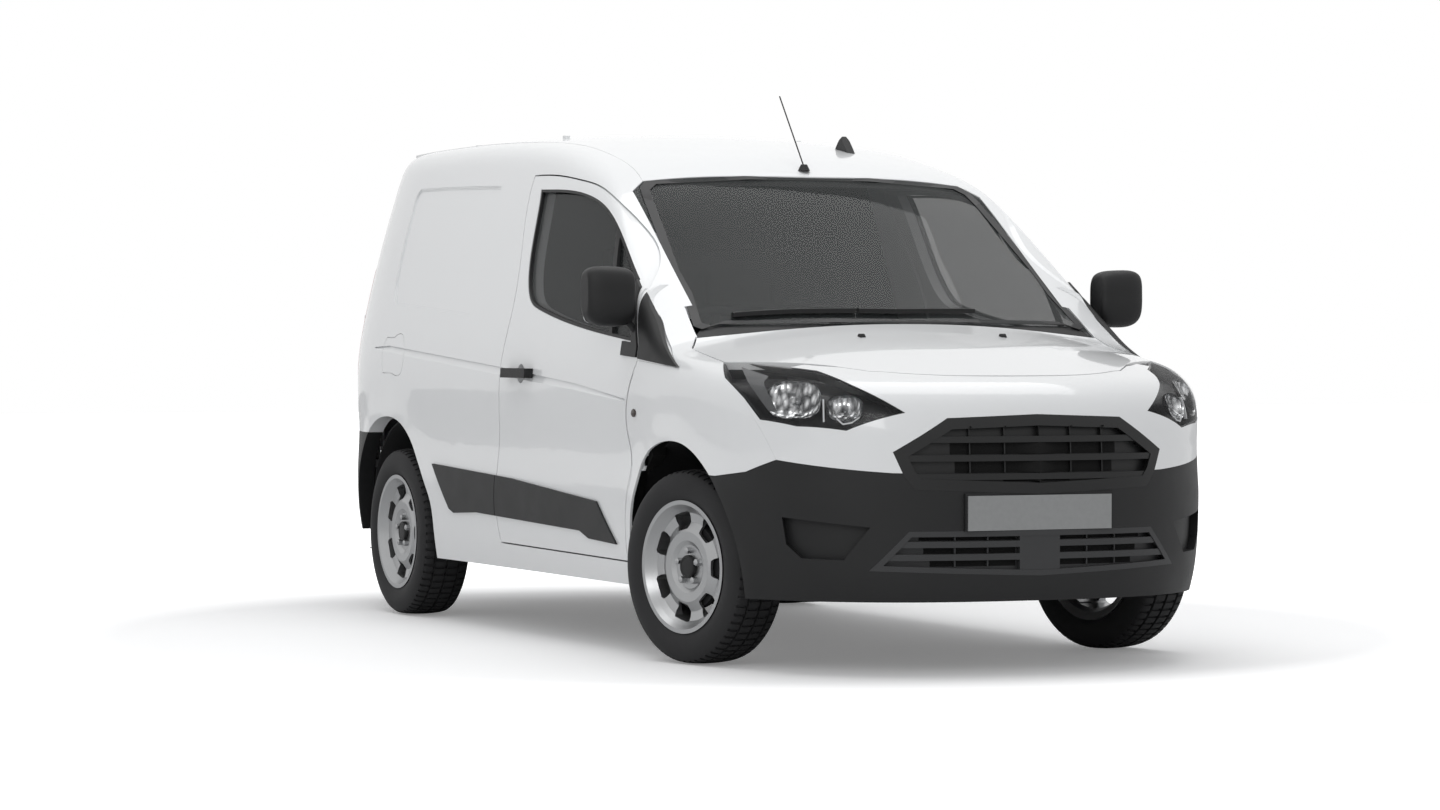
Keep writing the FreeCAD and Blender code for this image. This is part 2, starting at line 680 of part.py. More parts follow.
# Outer skin walls that the panels are cut from
side_stations = spread(-0.85, 0.0, 15)[:-1] + spread(0.0, 1.0, 28)[:-1] + spread(1.0, 1.12, 3)
nose_stations = spread(0.86, 1.0, 5)[:-1] + spread(1.0, 2.0, 22)
tail_stations = spread(-0.30, -1.0, 16)
side_margin = 2.2 * D.shoulder_radius
side_outer = wrap_wall(side_stations, 0, D.flange_thick, 0, D.flange_thick, side_margin)
side_inner = wrap_wall(side_stations, D.flange_thick, D.wall_thick, D.flange_thick, D.roof_thick, side_margin)
side_whole = wrap_wall(side_stations, 0, D.wall_thick, 0, D.roof_thick, side_margin)
side_pane = wrap_wall(side_stations[14:], D.pane_depth, D.pane_depth + D.pane_thick,
                      D.pane_depth, D.pane_depth + D.pane_thick, side_margin)
side_trim = wrap_wall(side_stations[10:], -D.wing_thick, -D.trim_gap, -D.wing_thick, -D.trim_gap, side_margin)
nose_skin = wrap_wall(nose_stations, 0, D.wing_thick, 0, D.wing_thick, side_margin / 2)
nose_full = wrap_wall(nose_stations[5:], 0, D.wing_thick, 0, D.wing_thick, side_margin / 2, full=True)
tail_outer = wrap_wall(tail_stations, 0, D.flange_thick, 0, D.flange_thick, side_margin, full=True)
tail_inner = wrap_wall(tail_stations, D.flange_thick, D.wall_thick, D.flange_thick, D.roof_thick,
                       side_margin, full=True)
tail_whole = wrap_wall(tail_stations, 0, D.wall_thick, 0, D.roof_thick, side_margin, full=True)


def swage(shares, depth):
    """Long wedge for the band pressed into the side: deep under its upper edge, fading out downwards."""
    rings = []
    for a, high, low in shares:
        x, high_z, low_z = along(a), up(high), up(low)
        places = [(-4 * depth, high_z), (depth, high_z - 0.3 * depth), (-0.02 * depth, low_z), (-4 * depth,
                                                                                                low_z)]
        corners = []
        for inset, z in places:
            wide = follow(section, z) + flare(x, z) - inset
            if a < -1:
                wide = skin_point(-math.asin(min(1, (along(-1) - x) / (follow(tail, z))) ** (TAIL_POWER / 2))
                                  / math.radians(90), z, inset)[1]
            corners.append(Vector(x, -wide, z))
        rings.append(Part.makePolygon(corners + corners[:1]))
    return Part.makeLoft(rings, True, True)


band = swage(BAND_SHARES, D.band_depth)
inset_faces = [side_cutter(INSET_SHARES, -D.press_step * n) for n in range(3)]
inset_walls = [wrap_wall(side_stations[4:24], -4 * D.press_depth, D.press_depth * (n + 1) / 3,
                         -D.press_depth, D.press_depth, side_margin) for n in range(3)]
pressed = [wall.common(face) for wall, face in zip(inset_walls, inset_faces)]
flap_groove = side_cutter(FLAP_SHARES).cut(side_cutter(FLAP_SHARES, -D.groove_wide))
flap_cut = wrap_wall(side_stations[4:18], -D.press_depth, D.press_depth, -D.press_depth, D.press_depth,
                     side_margin).common(flap_groove)


def mirrored_runs(runs):
    """Runs on the left, then their mirror image, as one closed outline in plan."""
    flipped = [[(a, -b) for a, b in reversed(run)] for run in reversed(runs)]
    joined = flipped[:-1] + [flipped[-1][:-1] + runs[0]] + runs[1:]
    first, last = joined[0], joined[-1]
    return [last[:-1] + first] + joined[1:-1]


def block(x0, x1, y0, y1, z0, z1):
    """Box between two places on each axis."""
    return Part.makeBox(abs(x1 - x0), abs(y1 - y0), abs(z1 - z0), Vector(min(x0, x1), min(y0, y1), min(z0,
                                                                                                       z1)))


def rod(start, end, radius):
    return Part.makeCylinder(radius, start.distanceToPoint(end), start, end - start)


def nose_wall(outer, inner):
    return wrap_wall(nose_stations[5:], outer, inner, outer, inner, side_margin / 2, full=True)


def corner_cutter(places, turn_deg, rise, grow=0.0):
    """Slanting block through an outline on the corner of the nose."""
    view = Vector(math.cos(math.radians(turn_deg)), -math.sin(math.radians(turn_deg)), rise)
    view.normalize()
    points = [Vector(along(a), out(b), up(c)) for a, b, c in places]
    middle = sum(points, Vector()) * (1 / len(points))
    flat = [p - view * ((p - middle) * view) for p in points]
    if grow:
        flat = [p + (p - middle).normalize() * grow for p in flat]
    start = view * -D.overrun
    face = Part.Face(Part.makePolygon([p + start for p in flat + flat[:1]]))
    return face.extrude(view * (2 * D.overrun))


def lamp_cutter(grow=0.0):
    return corner_cutter(LAMP_PLACES, D.lamp_turn_deg, LAMP_RISE, grow)


tail_start = along(-1.6)
bumper_start = along(-1.2)
door_opening = side_cutter(DOOR_SHARES)
door_edge = side_cutter(DOOR_SHARES, -D.shutline)
door_step = side_cutter(DOOR_SHARES, -D.shutline - D.flange_step)
pane_opening = side_cutter(DOOR_GLASS_SHARES)
slider_opening = side_cutter(SLIDER_SHARES)
slider_edge = side_cutter(SLIDER_SHARES, -D.shutline)
slider_seat = side_cutter(SLIDER_SHARES, -D.seam)
rear_arch = arch_face(rear_axle, REAR_ARCH_SHARES).extrude(Vector(0, -side_reach, 0))
front_arch = arch_face(front_axle, FRONT_ARCH_SHARES).extrude(Vector(0, -side_reach, 0))
screen_outline = mirrored_runs(SCREEN_SHARES)
bonnet_outline = mirrored_runs(BONNET_SHARES)
screen_opening = plan_cutter(screen_outline)
screen_edge = plan_cutter(screen_outline, -D.seat_gap)
bonnet_opening = plan_cutter(bonnet_outline, D.shutline)
bonnet_edge = plan_cutter(bonnet_outline)
roof_edge_points = ROOF_EDGE_SHARES + [(0.2, 0.70)]
roof_runs = [roof_edge_points] + polygon_runs([roof_edge_points[-1], (0.2, -0.70)])[:1] \
    + [[(a, -b) for a, b in reversed(roof_edge_points)]]
roof_side = plan_cutter(roof_runs)
roof_gap = plan_cutter(roof_runs, D.seam)
rear_opening = end_cutter(polygon_runs(REAR_DOORS_SHARES), tail_start)
rear_edge = end_cutter(polygon_runs(REAR_DOORS_SHARES), tail_start, -D.shutline)
rear_step = end_cutter(polygon_runs(REAR_DOORS_SHARES), tail_start, -D.shutline - D.flange_step)
rear_low = end_cutter(polygon_runs(REAR_BUMPER_SHARES), bumper_start)
rear_low_gap = end_cutter(polygon_runs(REAR_BUMPER_SHARES), bumper_start, D.seat_gap)
tail_lamp_opening = end_cutter(polygon_runs(TAIL_LAMP_SHARES), tail_start)
tail_lamp_edge = end_cutter(polygon_runs(TAIL_LAMP_SHARES), tail_start, -D.seat_gap)
wing_outline = side_cutter(WING_SHARES)
wing_gap = side_cutter(WING_SHARES, D.seam)
bumper_outline = side_cutter(polygon_runs(BUMPER_SHARES))
bumper_gap = side_cutter(polygon_runs(BUMPER_SHARES), D.seat_gap)
lamp_opening = lamp_cutter()
lamp_edge = lamp_cutter(-D.seat_gap)
grille_opening = end_cutter(polygon_runs(GRILLE_SHARES), front_axle)
lower_opening = end_cutter(polygon_runs(LOWER_GRILLE_SHARES), front_axle)
ahead_of_pillar = wing_gap.common(block(along(-0.135), nose_x, -side_reach, 0, 0, tall_reach))


def carve(shape, *tools):
    for tool in tools:
        shape = shape.cut(tool)
    return shape


def sum_up(first, *others):
    """Fuse of shapes, one after another."""
    for other in others:
        first = first.fuse(other)
    return first


def arch_house(axle, low_y, high_y, radius):
    """Half drum round a wheel, open to the outside and below."""
    drum = Part.makeCylinder(radius + D.house_thick, high_y - low_y + D.house_thick,
                             Vector(axle, -high_y, wheel_up), Vector(0, 1, 0))
    hollow = Part.makeCylinder(radius, high_y - low_y + D.house_thick,
                               Vector(axle, -high_y - D.house_thick, wheel_up), Vector(0, 1, 0))
    upper = block(axle - 2 * radius, axle + 2 * radius, -side_reach, 0, wheel_up - 0.2 * radius, tall_reach)
    return drum.cut(hollow).common(upper), hollow


# Steering axis and the places of the wheels
kingpin_x = front_axle - D.kingpin_setback
lean = math.tan(math.radians(D.kingpin_lean_deg))
kingpin_out = D.ball_joint_out - (wheel_up - D.ball_joint_up) * lean
kingpin_offset = D.front_track / 2 - kingpin_out


def on_kingpin(side, z):
    return Vector(kingpin_x, side * (D.ball_joint_out - (z - D.ball_joint_up) * lean), z)


def front_place(side):
    turn = Rotation(Vector(0, 0, 1), D.steer_rest_deg)
    arm = turn.multVec(Vector(0, side * kingpin_offset, 0))
    return Placement(on_kingpin(side, wheel_up) + arm, turn * Rotation(Vector(1, 0, 0), -90 * side))


def rear_place(side):
    return Placement(Vector(rear_axle, side * D.rear_track / 2, wheel_up), Rotation(Vector(1, 0, 0),
                                                                                    -90 * side))


# Sides: a thick wall with the openings of doors, arches, lamps and bumper
def hinge(x, y, z, grow=0.0):
    """Upright barrel of a hinge about a pin."""
    return rod(Vector(x, y, z - D.knuckle_high / 2 - grow), Vector(x, y, z + D.knuckle_high / 2 + grow),
               D.knuckle_radius + grow)


door_pin_y = -D.half_width + D.door_pin_depth
hinge_ups = [up(0.36), up(0.507)]


def door_post():
    """Post behind the wing that carries the door's hinges on fixed ears."""
    post = block(D.door_pin_x + 2 * D.knuckle_radius, D.door_pin_x + D.post_reach,
                 -D.half_width + D.wall_thick / 2,
                 -D.half_width + 1.3 * D.wall_thick, D.cab_floor_up, up(0.585))
    for z in hinge_ups:
        for low in (z - D.knuckle_high, z + D.knuckle_high / 2 + D.pin_play):
            top_z = low + D.knuckle_high / 2 - D.pin_play
            post = post.fuse(rod(Vector(D.door_pin_x, door_pin_y, low), Vector(D.door_pin_x, door_pin_y,
                                                                               top_z),
                                 D.knuckle_radius))
            post = post.fuse(block(D.door_pin_x, D.door_pin_x + D.wall_thick / 2, door_pin_y,
                                    door_pin_y + D.wall_thick / 2, low, top_z))
        post = post.fuse(rod(Vector(D.door_pin_x, door_pin_y, z - D.knuckle_high),
                             Vector(D.door_pin_x, door_pin_y, z + D.knuckle_high), D.pin_radius))
    return post


def door_leaf():
    """Bent arms from the hinge barrels round the wing's edge into the door."""
    leaf = None
    for z in hinge_ups:
        x, y = D.door_pin_x, door_pin_y
        points = [Vector(x + a * D.leaf_reach, y + b * D.leaf_reach, z - D.knuckle_high / 2) for a,
                  b in LEAF_SHARES]
        arm = Part.Face(Part.makePolygon(points + points[:1])).extrude(Vector(0, 0, D.knuckle_high))
        arm = arm.fuse(hinge(x, y, z))
        arm = arm.cut(rod(Vector(x, y, 0), Vector(x, y, D.roof_height), D.pin_radius + D.pin_play))
        leaf = arm if leaf is None else leaf.fuse(arm)
    return leaf


def rear_ears():
    """Fixed halves of the hinges of a rear door, on the corner of the body."""
    ears = None
    for z in rear_hinge_ups:
        ear = block(D.rear_pin_x, tail_start - D.rear_ear_reach, -D.rear_pin_out - D.rear_barrel_radius,
                    -D.rear_pin_out + D.rear_barrel_radius,
                    z - D.knuckle_high, z - D.knuckle_high / 2 - D.pin_play)
        ear = ear.fuse(rod(Vector(D.rear_pin_x, -D.rear_pin_out, z - D.knuckle_high),
                           Vector(D.rear_pin_x, -D.rear_pin_out, z - D.knuckle_high / 2 - D.pin_play),
                           D.rear_barrel_radius))
        ear = ear.fuse(rod(Vector(D.rear_pin_x, -D.rear_pin_out, z - D.knuckle_high),
                           Vector(D.rear_pin_x, -D.rear_pin_out, z + D.knuckle_high / 2), D.pin_radius))
        ears = ear if ears is None else ears.fuse(ear)
    return ears


def rear_leaf():
    leaf = None
    for z in rear_hinge_ups:
        arm = block(D.rear_pin_x - D.rear_leaf_thick / 2, D.rear_pin_x + D.rear_leaf_thick / 2,
                    -D.rear_pin_out,
                    -D.rear_pin_out + D.rear_leaf_reach,
                    z - D.knuckle_high / 2, z + D.knuckle_high / 2)
        arm = arm.fuse(block(D.rear_pin_x - D.rear_leaf_thick / 2, D.rear_pin_x + 0.8 * D.rear_leaf_reach,
                             -D.rear_pin_out + 0.6 * D.rear_leaf_reach, -D.rear_pin_out + D.rear_leaf_reach,
                             z - D.knuckle_high / 2, z + D.knuckle_high / 2))
        arm = arm.fuse(rod(Vector(D.rear_pin_x, -D.rear_pin_out, z - D.knuckle_high / 2),
                           Vector(D.rear_pin_x, -D.rear_pin_out, z + D.knuckle_high / 2),
                           D.rear_barrel_radius))
        arm = arm.cut(rod(Vector(D.rear_pin_x, -D.rear_pin_out, 0),
                          Vector(D.rear_pin_x, -D.rear_pin_out, D.roof_height), D.pin_radius + D.pin_play))
        leaf = arm if leaf is None else leaf.fuse(arm)
    return leaf


rear_hinge_ups = [up(0.42), up(0.62)]
common_openings = [door_opening, rear_arch, front_arch, ahead_of_pillar, roof_gap, screen_opening,
                   rear_opening,
                   rear_low_gap, tail_lamp_opening]
side_pressed = carve(side_whole, *common_openings)
for press in pressed:
    side_pressed = side_pressed.cut(press)
side_shell = side_pressed.cut(band)
leaf_high = D.knuckle_high / 2 + D.side_clear
leaf_rooms = [block(D.door_pin_x - 1.1 * D.leaf_reach, D.door_pin_x - D.knuckle_radius, -D.half_width,
                    door_pin_y + 0.9 * D.leaf_reach, z - leaf_high, z + leaf_high) for z in hinge_ups]
side_shell = carve(side_shell, *leaf_rooms)
bonnet_room = top_wall(along(-0.06), along(0.9), out(0.92), -D.side_clear, D.bonnet_thick + 2 * D.side_clear)
bonnet_room = bonnet_room.common(bonnet_opening)
side_shell = one_solid(side_shell.cut(bonnet_room))
door_zone = side_whole.common(door_opening)
post = door_post().cut(front_arch)
ears = rear_ears()
side_right = panel("side_right", one_solid(sum_up(side_shell.cut(flap_cut), post, ears)))
side_left = panel("side_left", one_solid(mirrored(sum_up(carve(side_shell, slider_opening), post, ears))))
slider = side_outer.common(slider_edge).fuse(side_inner.common(slider_seat)).cut(rear_arch)
slider = carve(slider, band, *pressed)
sliding_door = panel("sliding_door", one_solid(mirrored(slider)))

# Roof with the header over the rear doors
seam_x = tail_x + 4 * D.shoulder_radius
header_wall = wrap_wall(tail_stations, 0, D.wall_thick, 0, D.roof_thick, 2.3 * side_margin, full=True)
header = header_wall.common(block(tail_x, seam_x, -out(0.68), out(0.68), up(0.915),
                                  tall_reach)).common(roof_side)
roof_skin = top_wall(seam_x, along(-0.28), out(0.75), 0, D.roof_thick).common(roof_side).cut(screen_opening)
rack_plane = up(0.991)
roof_shape = roof_skin.fuse(header)
for x in (D.rack_x - D.rack_half_x, D.rack_x + D.rack_half_x):
    for y in (-D.rack_half_y, D.rack_half_y):
        boss = rod(Vector(x, y, rack_plane - D.roof_thick), Vector(x, y, rack_plane), D.rack_boss_radius)
        hole = rod(Vector(x, y, rack_plane - D.roof_thick), Vector(x, y, rack_plane), D.rack_hole_radius)
        roof_shape = roof_shape.fuse(boss).cut(hole)
roof = panel("roof", one_solid(roof_shape))
cowl_start = along(-0.06)
screen_wall = top_wall(along(-0.34), along(0), out(0.82), D.screen_depth, D.screen_thick)
windscreen = panel("windscreen", one_solid(carve(screen_wall.common(screen_edge), door_zone,
                                                 mirrored(door_zone))))
seal_ring = screen_edge.cut(plan_cutter(screen_outline, -D.seal_wide))
seal_ring = seal_ring.cut(block(cowl_start, nose_x, -D.half_width, D.half_width, 0, tall_reach))
seal_wall = top_wall(along(-0.34), along(0), out(0.82), D.screen_depth + D.screen_thick + D.seat_gap,
                     D.lens_thick / 2)
screen_seal = panel("screen_seal", one_solid(carve(seal_wall.common(seal_ring), door_zone,
                                                   mirrored(door_zone))))

# Nose panels
wing_skin = one_solid(carve(nose_skin.common(wing_outline), front_arch, lamp_opening, bonnet_opening,
                            screen_opening, bumper_gap, side_cutter(SAIL_SHARES)))
wing_skin = wing_skin.cut(side_shell)
for z in hinge_ups:
    wing_skin = wing_skin.cut(rod(Vector(D.door_pin_x, door_pin_y, z - 1.5 * D.knuckle_high),
                                  Vector(D.door_pin_x, door_pin_y, z + 1.5 * D.knuckle_high),
                                  D.knuckle_radius + D.room_gap))
wing_skin = one_solid(wing_skin)
wing_right = panel("wing_right", wing_skin)
wing_left = panel("wing_left", mirrored(wing_skin))
lens_shape = one_solid(nose_wall(0, D.lens_thick).cut(bonnet_opening).common(lamp_edge))
headlamps = panel("headlamps", Part.makeCompound(both(lens_shape)))
lamp_box = nose_wall(D.lens_thick + D.seat_gap, D.lamp_deep).cut(bonnet_opening)
lamp_room = nose_wall(D.lens_thick,
                      D.lamp_deep - D.lens_thick).common(lamp_cutter(-D.seat_gap - 2 * D.lens_thick))
housing = one_solid(lamp_box.common(lamp_edge).cut(lamp_room))
headlamp_housings = panel("headlamp_housings", Part.makeCompound(both(housing)))
front_shape = carve(nose_full, bumper_gap, mirrored(bumper_gap), lamp_opening, mirrored(lamp_opening),
                    bonnet_opening, wing_gap, mirrored(wing_gap), grille_opening)
front_panel = panel("front_panel", one_solid(front_shape))
bumper_shape = carve(nose_full.common(bumper_outline.fuse(mirrored(bumper_outline))), front_arch,
                     mirrored(front_arch), grille_opening, lower_opening)
fog_walls = nose_wall(0, D.fog_deep).common(corner_cutter(FOG_PLACES, D.fog_turn_deg, 0))
fog_cup = fog_walls.cut(nose_wall(-D.wing_thick, D.fog_deep - D.wing_thick)
                        .common(corner_cutter(FOG_PLACES, D.fog_turn_deg, 0, -D.wing_thick)))
for cup in both(fog_cup):
    opening = corner_cutter(FOG_PLACES, D.fog_turn_deg, 0)
    bumper_shape = bumper_shape.cut(opening if cup is fog_cup else mirrored(opening))
bumper_shape = sum_up(bumper_shape, *both(fog_cup))
plinth = block(nose_x - 4 * D.wing_thick, nose_x - D.plate_thick, -D.plate_long / 2 - D.wing_thick,
               D.plate_long / 2 + D.wing_thick, D.plate_up - D.plate_high / 2 - D.wing_thick,
               D.plate_up + D.plate_high / 2 + D.wing_thick)
plate_room = block(nose_x - D.plate_thick, nose_x + D.plate_thick, -D.half_width, D.half_width,
                   plinth.BoundBox.ZMin, plinth.BoundBox.ZMax)
bumper_shape = carve(bumper_shape.fuse(plinth), plate_room, grille_opening, lower_opening)
front_bumper = panel("front_bumper", one_solid(bumper_shape))
number_plate = keep(machined("Part::Box", "number_plate",
                             {"Length": "Sizes.plate_thick - 2 * Sizes.seat_gap", "Width": "Sizes.plate_long",
                              "Height": "Sizes.plate_high"},
                             Placement(Vector(nose_x - D.plate_thick + D.seat_gap, -D.plate_long / 2,
                                              D.plate_up - D.plate_high / 2), Rotation())), "number_plate")


def grille(shares, bar_ups, block_share, frame_wide):
    """Frame, level bars and a back that all follow the nose."""
    outline = end_cutter(polygon_runs(shares), front_axle, -D.seat_gap)
    hole = end_cutter(polygon_runs(shares), front_axle, -frame_wide)
    wide = grille_reach * D.half_width
    low, high = up(grille_ups[0]), up(grille_ups[1])
    slats = block(front_axle, nose_x, -out(block_share), out(block_share), low, high)
    for z in bar_ups:
        slats = slats.fuse(block(front_axle, nose_x, -wide, wide, z - D.grille_bar / 2, z + D.grille_bar / 2))
    frame = nose_wall(0, D.grille_deep).common(outline).cut(hole)
    bars = nose_wall(D.lens_thick / 2, D.grille_deep).common(outline).common(slats)
    back = nose_wall(D.grille_deep - D.lens_thick, D.grille_deep + D.lens_thick).common(outline)
    return one_solid(frame.fuse(bars).fuse(back))


grille_reach = 0.68
grille_ups = (0.18, 0.46)
upper_grille = grille(GRILLE_SHARES, [up(0.409), up(0.377), up(0.345)], 0.0005, D.grille_frame)
lower_grille = grille(LOWER_GRILLE_SHARES, [up(0.229), up(0.207)], 0.08, 0.5 * D.grille_frame)
grilles = panel("grilles", Part.makeCompound([upper_grille, lower_grille]))

# Rear bumper, rear doors and lamps
bumper_wall = wrap_wall(spread(-0.04, -1.0, 24), 0, D.wall_thick, 0, D.wall_thick, side_margin, full=True)
rear_bumper = panel("rear_bumper", one_solid(carve(bumper_wall.common(rear_low), rear_arch,
                                                   mirrored(rear_arch))))
door_slab = tail_outer.common(rear_edge).fuse(tail_inner.common(rear_step))
split_y = -out(0.132)
half_gap = D.shutline / 2
left_half = door_slab.common(block(tail_x, tail_start, split_y + half_gap, D.half_width, 0, tall_reach))
right_half = door_slab.common(block(tail_x, tail_start, -D.half_width, split_y - half_gap, 0, tall_reach))
rear_door_left = panel("rear_door_left", one_solid(left_half.fuse(mirrored(rear_leaf()))))
rear_door_right = panel("rear_door_right", one_solid(right_half.fuse(rear_leaf())))
tail_lamps = panel("tail_lamps", Part.makeCompound(both(one_solid(tail_whole.common(tail_lamp_edge)))))

# Front doors: two layers, the window cut out, arms to the hinges
door_shape = side_outer.common(door_edge).fuse(side_inner.common(door_step)).cut(pane_opening)
cup_centre = Vector(D.handle_x, -follow(section, D.handle_up) - D.cup_radius + D.cup_deep, D.handle_up)
door_shape = door_shape.cut(band).cut(Part.makeSphere(D.cup_radius, cup_centre))
door_shape = one_solid(one_solid(door_shape).fuse(door_leaf()))
door_right = panel("door_right", door_shape)
door_left = panel("door_left", mirrored(door_shape))
glass_shape = one_solid(side_pane.common(side_cutter(DOOR_GLASS_SHARES, -D.seat_gap)))
door_glass_right = panel("door_glass_right", glass_shape)
door_glass_left = panel("door_glass_left", mirrored(glass_shape))

# Trim on the doors and the fixed trim
cladding = side_cutter(polygon_runs(CLADDING_SHARES))
door_cladding = one_solid(side_trim.common(cladding).common(door_edge).cut(door_shape))
sail = one_solid(side_trim.common(side_cutter(polygon_runs(DOOR_SAIL_SHARES))))
handle_wall = wrap_wall(side_stations[24:33], -D.handle_depth, -D.seat_gap, -D.handle_depth, -D.seat_gap,
                        side_margin)
handle_mid = Vector(D.handle_x, 0, D.handle_up)
handle = one_solid(handle_wall.common(block(handle_mid.x - D.handle_long / 2,
                                            handle_mid.x + D.handle_long / 2,
                                            -side_reach, 0, handle_mid.z - D.handle_high / 2,
                                            handle_mid.z + D.handle_high / 2)))
mirror_mid = Vector(D.mirror_x, -D.mirror_out + D.mirror_wide / 2, D.mirror_up)
MIRROR_SHARES = [(0.50, 0.30, 0.34, 0.0), (0.44, 0.44, 0.44, 0.0), (0.20, 0.50, 0.50, 0.0),
                 (-0.20, 0.48, 0.50, 0.01), (-0.40, 0.40, 0.44, 0.03), (-0.49, 0.24, 0.28, 0.06)]


def mirror_head():
    """Housing of a door mirror: rounded box sections from the door outwards, flat where the glass sits."""
    rings = []
    for y_share, x_share, z_share, lift in MIRROR_SHARES:
        ring = []
        for n in range(24):
            turn = math.radians(15 * n)
            bend_x = math.copysign(abs(math.cos(turn)) ** 0.6, math.cos(turn))
            bend_z = math.copysign(abs(math.sin(turn)) ** 0.6, math.sin(turn))
            ring.append(mirror_mid + Vector(x_share * D.mirror_long * bend_x, y_share * D.mirror_wide,
                                            z_share * D.mirror_high * bend_z + lift * D.mirror_high))
        curve = Part.BSplineCurve()
        curve.interpolate(ring, PeriodicFlag=True)
        rings.append(Part.Wire(curve.toShape()))
    head = Part.makeLoft(rings, True)
    behind = mirror_mid.x - 0.36 * D.mirror_long
    head = head.cut(block(mirror_mid.x - D.mirror_long, behind, -2 * D.half_width, 0, 0, tall_reach))
    room = block(behind - 1, behind + D.lens_thick, mirror_mid.y - 0.36 * D.mirror_wide,
                 mirror_mid.y + 0.38 * D.mirror_wide, mirror_mid.z - 0.36 * D.mirror_high,
                 mirror_mid.z + 0.36 * D.mirror_high)
    room = room.makeFillet(0.1 * D.mirror_high, [e for e in room.Edges if e.Curve.Direction.x ** 2 > 0.9])
    return head.cut(room)


mirror_arm = rod(Vector(D.mirror_arm_x, -D.mirror_arm_out, D.mirror_arm_up),
                 Vector(D.mirror_arm_x, -D.mirror_foot_out, D.mirror_foot_up), D.mirror_arm_radius)
mirror = one_solid(carve(mirror_head().fuse(mirror_arm), side_whole, sail))
mirror_right = panel("mirror_right", mirror)
mirror_left = panel("mirror_left", mirrored(mirror))
rubber_wall = wrap_wall(side_stations[14:], D.rubber_sunk, D.pane_depth - D.seat_gap, D.rubber_sunk,
                        D.pane_depth - D.seat_gap, side_margin)
pane_room = side_cutter(DOOR_GLASS_SHARES, -D.trim_gap)
rubber = rubber_wall.common(pane_room).cut(side_cutter(DOOR_GLASS_SHARES, -D.rubber_wide))
quarter_bar = rubber_wall.common(side_cutter(polygon_runs(QUARTER_BAR_SHARES))).common(pane_room)
rubber = one_solid(rubber.fuse(quarter_bar))
door_trim = Part.makeCompound([door_cladding, sail, handle, rubber])
door_trim_right = panel("door_trim_right", door_trim)
door_trim_left = panel("door_trim_left", mirrored(door_trim))
fixed_sail = one_solid(carve(side_trim.common(side_cutter(SAIL_SHARES)), side_shell, wing_skin))
fixed_cladding = one_solid(carve(side_trim.common(cladding), door_opening, rear_arch))
side_trims = panel("side_trims", Part.makeCompound(both(fixed_sail) + both(fixed_cladding)))

# Bonnet with its hinge arms
bonnet_slab = top_wall(along(-0.06), along(0.9), out(0.92), 0, D.bonnet_thick).common(bonnet_edge)
bonnet_pin_z = top(D.bonnet_pin_x, D.bonnet_pin_out) - 2 * D.bonnet_thick
pin_start = Vector(D.bonnet_pin_x, D.bonnet_pin_out - 2 * D.bonnet_arm_wide, bonnet_pin_z)
arm_start = Vector(D.bonnet_pin_x, D.bonnet_pin_out - D.bonnet_arm_wide, bonnet_pin_z)
arm_end = Vector(D.bonnet_pin_x, D.bonnet_pin_out + D.bonnet_arm_wide, bonnet_pin_z)
ear_end = arm_start - Vector(0, D.pin_play, 0)
arm_points = [arm_start + Vector(a * D.bonnet_arm_long, 0, c * D.bonnet_arm_long) for a,
              c in BONNET_ARM_SHARES]
bonnet_arm = Part.Face(Part.makePolygon(arm_points + arm_points[:1])).extrude(arm_end - arm_start)
bonnet_arm = bonnet_arm.fuse(rod(arm_start, arm_end, D.knuckle_radius))
arm_room = block(D.bonnet_pin_x - D.knuckle_radius - D.side_clear, along(0.02), arm_start.y - D.side_clear,
                 arm_end.y + D.side_clear, D.shelf_up, bonnet_pin_z + 2 * D.bonnet_arm_long)
bonnet_arm = bonnet_arm.cut(rod(arm_start, arm_end, D.pin_radius + D.pin_play))
bonnet_ear = block(D.bonnet_pin_x - D.knuckle_radius, D.bonnet_pin_x + D.knuckle_radius, pin_start.y,
                   ear_end.y,
                   D.shelf_up, bonnet_pin_z)
bonnet_ear = sum_up(bonnet_ear, rod(pin_start, ear_end, D.knuckle_radius), rod(pin_start, arm_end,
                                                                               D.pin_radius))
bonnet_ears = both(bonnet_ear)
bonnet_shape = sum_up(bonnet_slab, *both(bonnet_arm))
bonnet = panel("bonnet", one_solid(bonnet_shape))


# Space inside the skin: everything beyond it is cut off the underbody and the cab
beyond_side = wrap_wall(side_stations, -D.wall_thick, D.wall_thick + D.room_gap, -D.wall_thick,
                        D.roof_thick + D.room_gap, side_margin)
beyond_tail = wrap_wall(tail_stations, -D.wall_thick, D.wall_thick + D.room_gap, -D.wall_thick,
                        D.roof_thick + D.room_gap, side_margin, full=True)
beyond_nose = wrap_wall(nose_stations, -D.wall_thick, 2 * D.wing_thick, -D.wall_thick, 2 * D.wing_thick,
                        side_margin / 2)


def trimmed(shape):
    return carve(shape, beyond_side, mirrored(beyond_side), beyond_tail)


